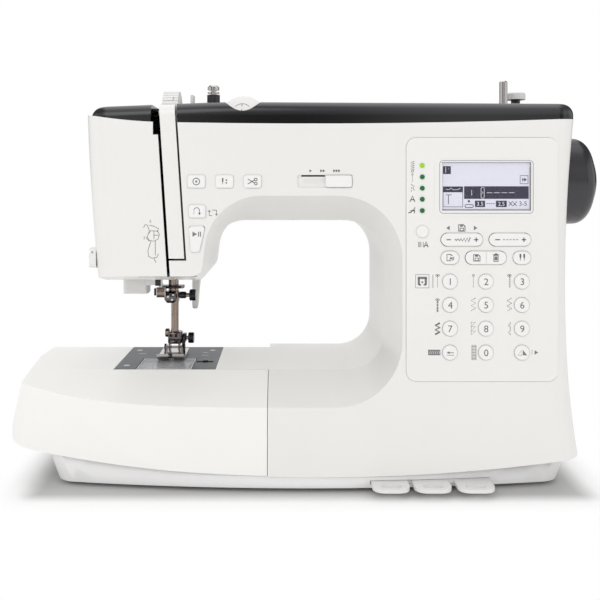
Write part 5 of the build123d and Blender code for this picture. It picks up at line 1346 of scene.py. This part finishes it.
# painted shadow: close to the tray the paper's colour darkens from white to #C4C4C3
painted_contact_shadow = {"Value": beyond, "From Min": -0.001, "From Max": 0.016}
painted_contact_shadow = put(paper_tree, "ShaderNodeMapRange", painted_contact_shadow)
shade = put(paper_tree, "ShaderNodeMix", {"Factor": painted_contact_shadow.outputs["Result"]}, data_type="RGBA")
shade.inputs["A"].default_value = linear("#C4C4C3")
shade.inputs["B"].default_value = linear("#FFFFFF")
paper_tree.links.new(shade.outputs["Result"], paper_shader.inputs["Base Color"])
paper_ray = put(paper_tree, "ShaderNodeLightPath")
share = put(
    paper_tree, "ShaderNodeMath",
    {0: fade.outputs["Result"], 1: paper_ray.outputs["Is Camera Ray"]}, operation="MULTIPLY",
)
pure = put(paper_tree, "ShaderNodeEmission", {"Color": linear("#FFFFFF"), "Strength": 1.0})
mixed = put(
    paper_tree, "ShaderNodeMixShader",
    {"Fac": share.outputs[0], 1: paper_shader.outputs["BSDF"], 2: pure.outputs["Emission"]},
)
paper_end = paper_tree.nodes["Material Output"]
paper_tree.links.new(mixed.outputs["Shader"], paper_end.inputs["Surface"])
sweep.materials.append(paper)
floor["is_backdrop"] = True

# %% World
world = bpy.data.worlds.new("White studio")
bpy.context.scene.world = world
world.use_nodes = True
sky = world.node_tree
sky.nodes.clear()
ray = put(sky, "ShaderNodeLightPath")
direction = put(sky, "ShaderNodeTexCoord").outputs["Generated"]
sideways = put(sky, "ShaderNodeSeparateXYZ", {"Vector": direction}).outputs["X"]
side = put(sky, "ShaderNodeMath", {0: sideways}, operation="ABSOLUTE")
ahead = put(sky, "ShaderNodeSeparateXYZ", {"Vector": direction}).outputs["Y"]
# 0 for what a surface sees in front of the machine, 1 for what it sees behind and beside it
behind = put(sky, "ShaderNodeMapRange", {"Value": ahead, "From Min": -0.35, "From Max": -0.1})


def boards(steps):
    """Shades along |x|, for the studio that a glossy surface shows."""
    ramp = put(sky, "ShaderNodeValToRGB", {"Fac": side.outputs[0]})
    ramp.color_ramp.interpolation = "EASE"
    while len(ramp.color_ramp.elements) < len(steps):
        ramp.color_ramp.elements.new(0.5)
    for element, (position, shade) in zip(ramp.color_ramp.elements, steps):
        element.position = position
        element.color = (shade, shade, shade, 1)
    return ramp.outputs["Color"]


far_side = boards(((0.30, 1.0), (0.48, 0.03), (0.78, 0.05), (0.92, 0.9)))
near_side = boards(((0.08, 0.06), (0.16, 1.0), (0.32, 1.0), (0.42, 0.05), (0.60, 0.05), (0.72, 0.9)))
studio_shade = put(sky, "ShaderNodeMix", {"Factor": behind.outputs["Result"]}, data_type="RGBA")
sky.links.new(near_side, studio_shade.inputs["A"])
sky.links.new(far_side, studio_shade.inputs["B"])
shown = put(sky, "ShaderNodeMix", {"Factor": ray.outputs["Is Glossy Ray"]}, data_type="RGBA")
shown.inputs["A"].default_value = linear("#FFFFFF")
sky.links.new(studio_shade.outputs["Result"], shown.inputs["B"])
seen = ray.outputs["Is Camera Ray"]
for kind in ("Is Glossy Ray", "Is Transmission Ray"):
    either = {0: seen, 1: ray.outputs[kind]}
    seen = put(sky, "ShaderNodeMath", either, operation="MAXIMUM").outputs[0]
SOFT_LIGHT = 0.79  # what the world gives to matt surfaces; what is looked at directly stays at 1
strength = put(sky, "ShaderNodeMapRange", {"Value": seen, "To Min": SOFT_LIGHT, "To Max": 1.0})
studio = put(
    sky, "ShaderNodeBackground",
    {"Color": shown.outputs["Result"], "Strength": strength.outputs["Result"]},
)
put(sky, "ShaderNodeOutputWorld", {"Surface": studio.outputs["Background"]})


# %% Lamps
def soft_box(name, place, aim, size, watts):
    """A square area lamp at place that points to aim."""
    data = bpy.data.lights.new(name, "AREA")
    data.shape = "RECTANGLE"
    data.size, data.size_y = size
    data.energy = watts
    lamp = bpy.data.objects.new(name, data)
    lamp.location = place
    lamp.rotation_euler = (Vector(aim) - Vector(place)).to_track_quat("-Z", "Y").to_euler()
    bpy.context.scene.collection.objects.link(lamp)


soft_box("Key box", (-0.7, -1.5, 1.3), (0, 0, 0.15), (1.4, 1.0), 7.2)
soft_box("Fill box", (1.3, -1.2, 0.8), (0, 0, 0.15), (1.0, 1.0), 1.2)
soft_box("Top box", (0.1, 0.2, 1.6), (0, 0, 0.2), (1.6, 1.2), 3.3)

# %% The model's box
visual_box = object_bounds()
for before, after in zip(cad_box, visual_box):
    print("a corner moves by mm", [round((b - a) / MM, 2) for a, b in zip(before, after)])
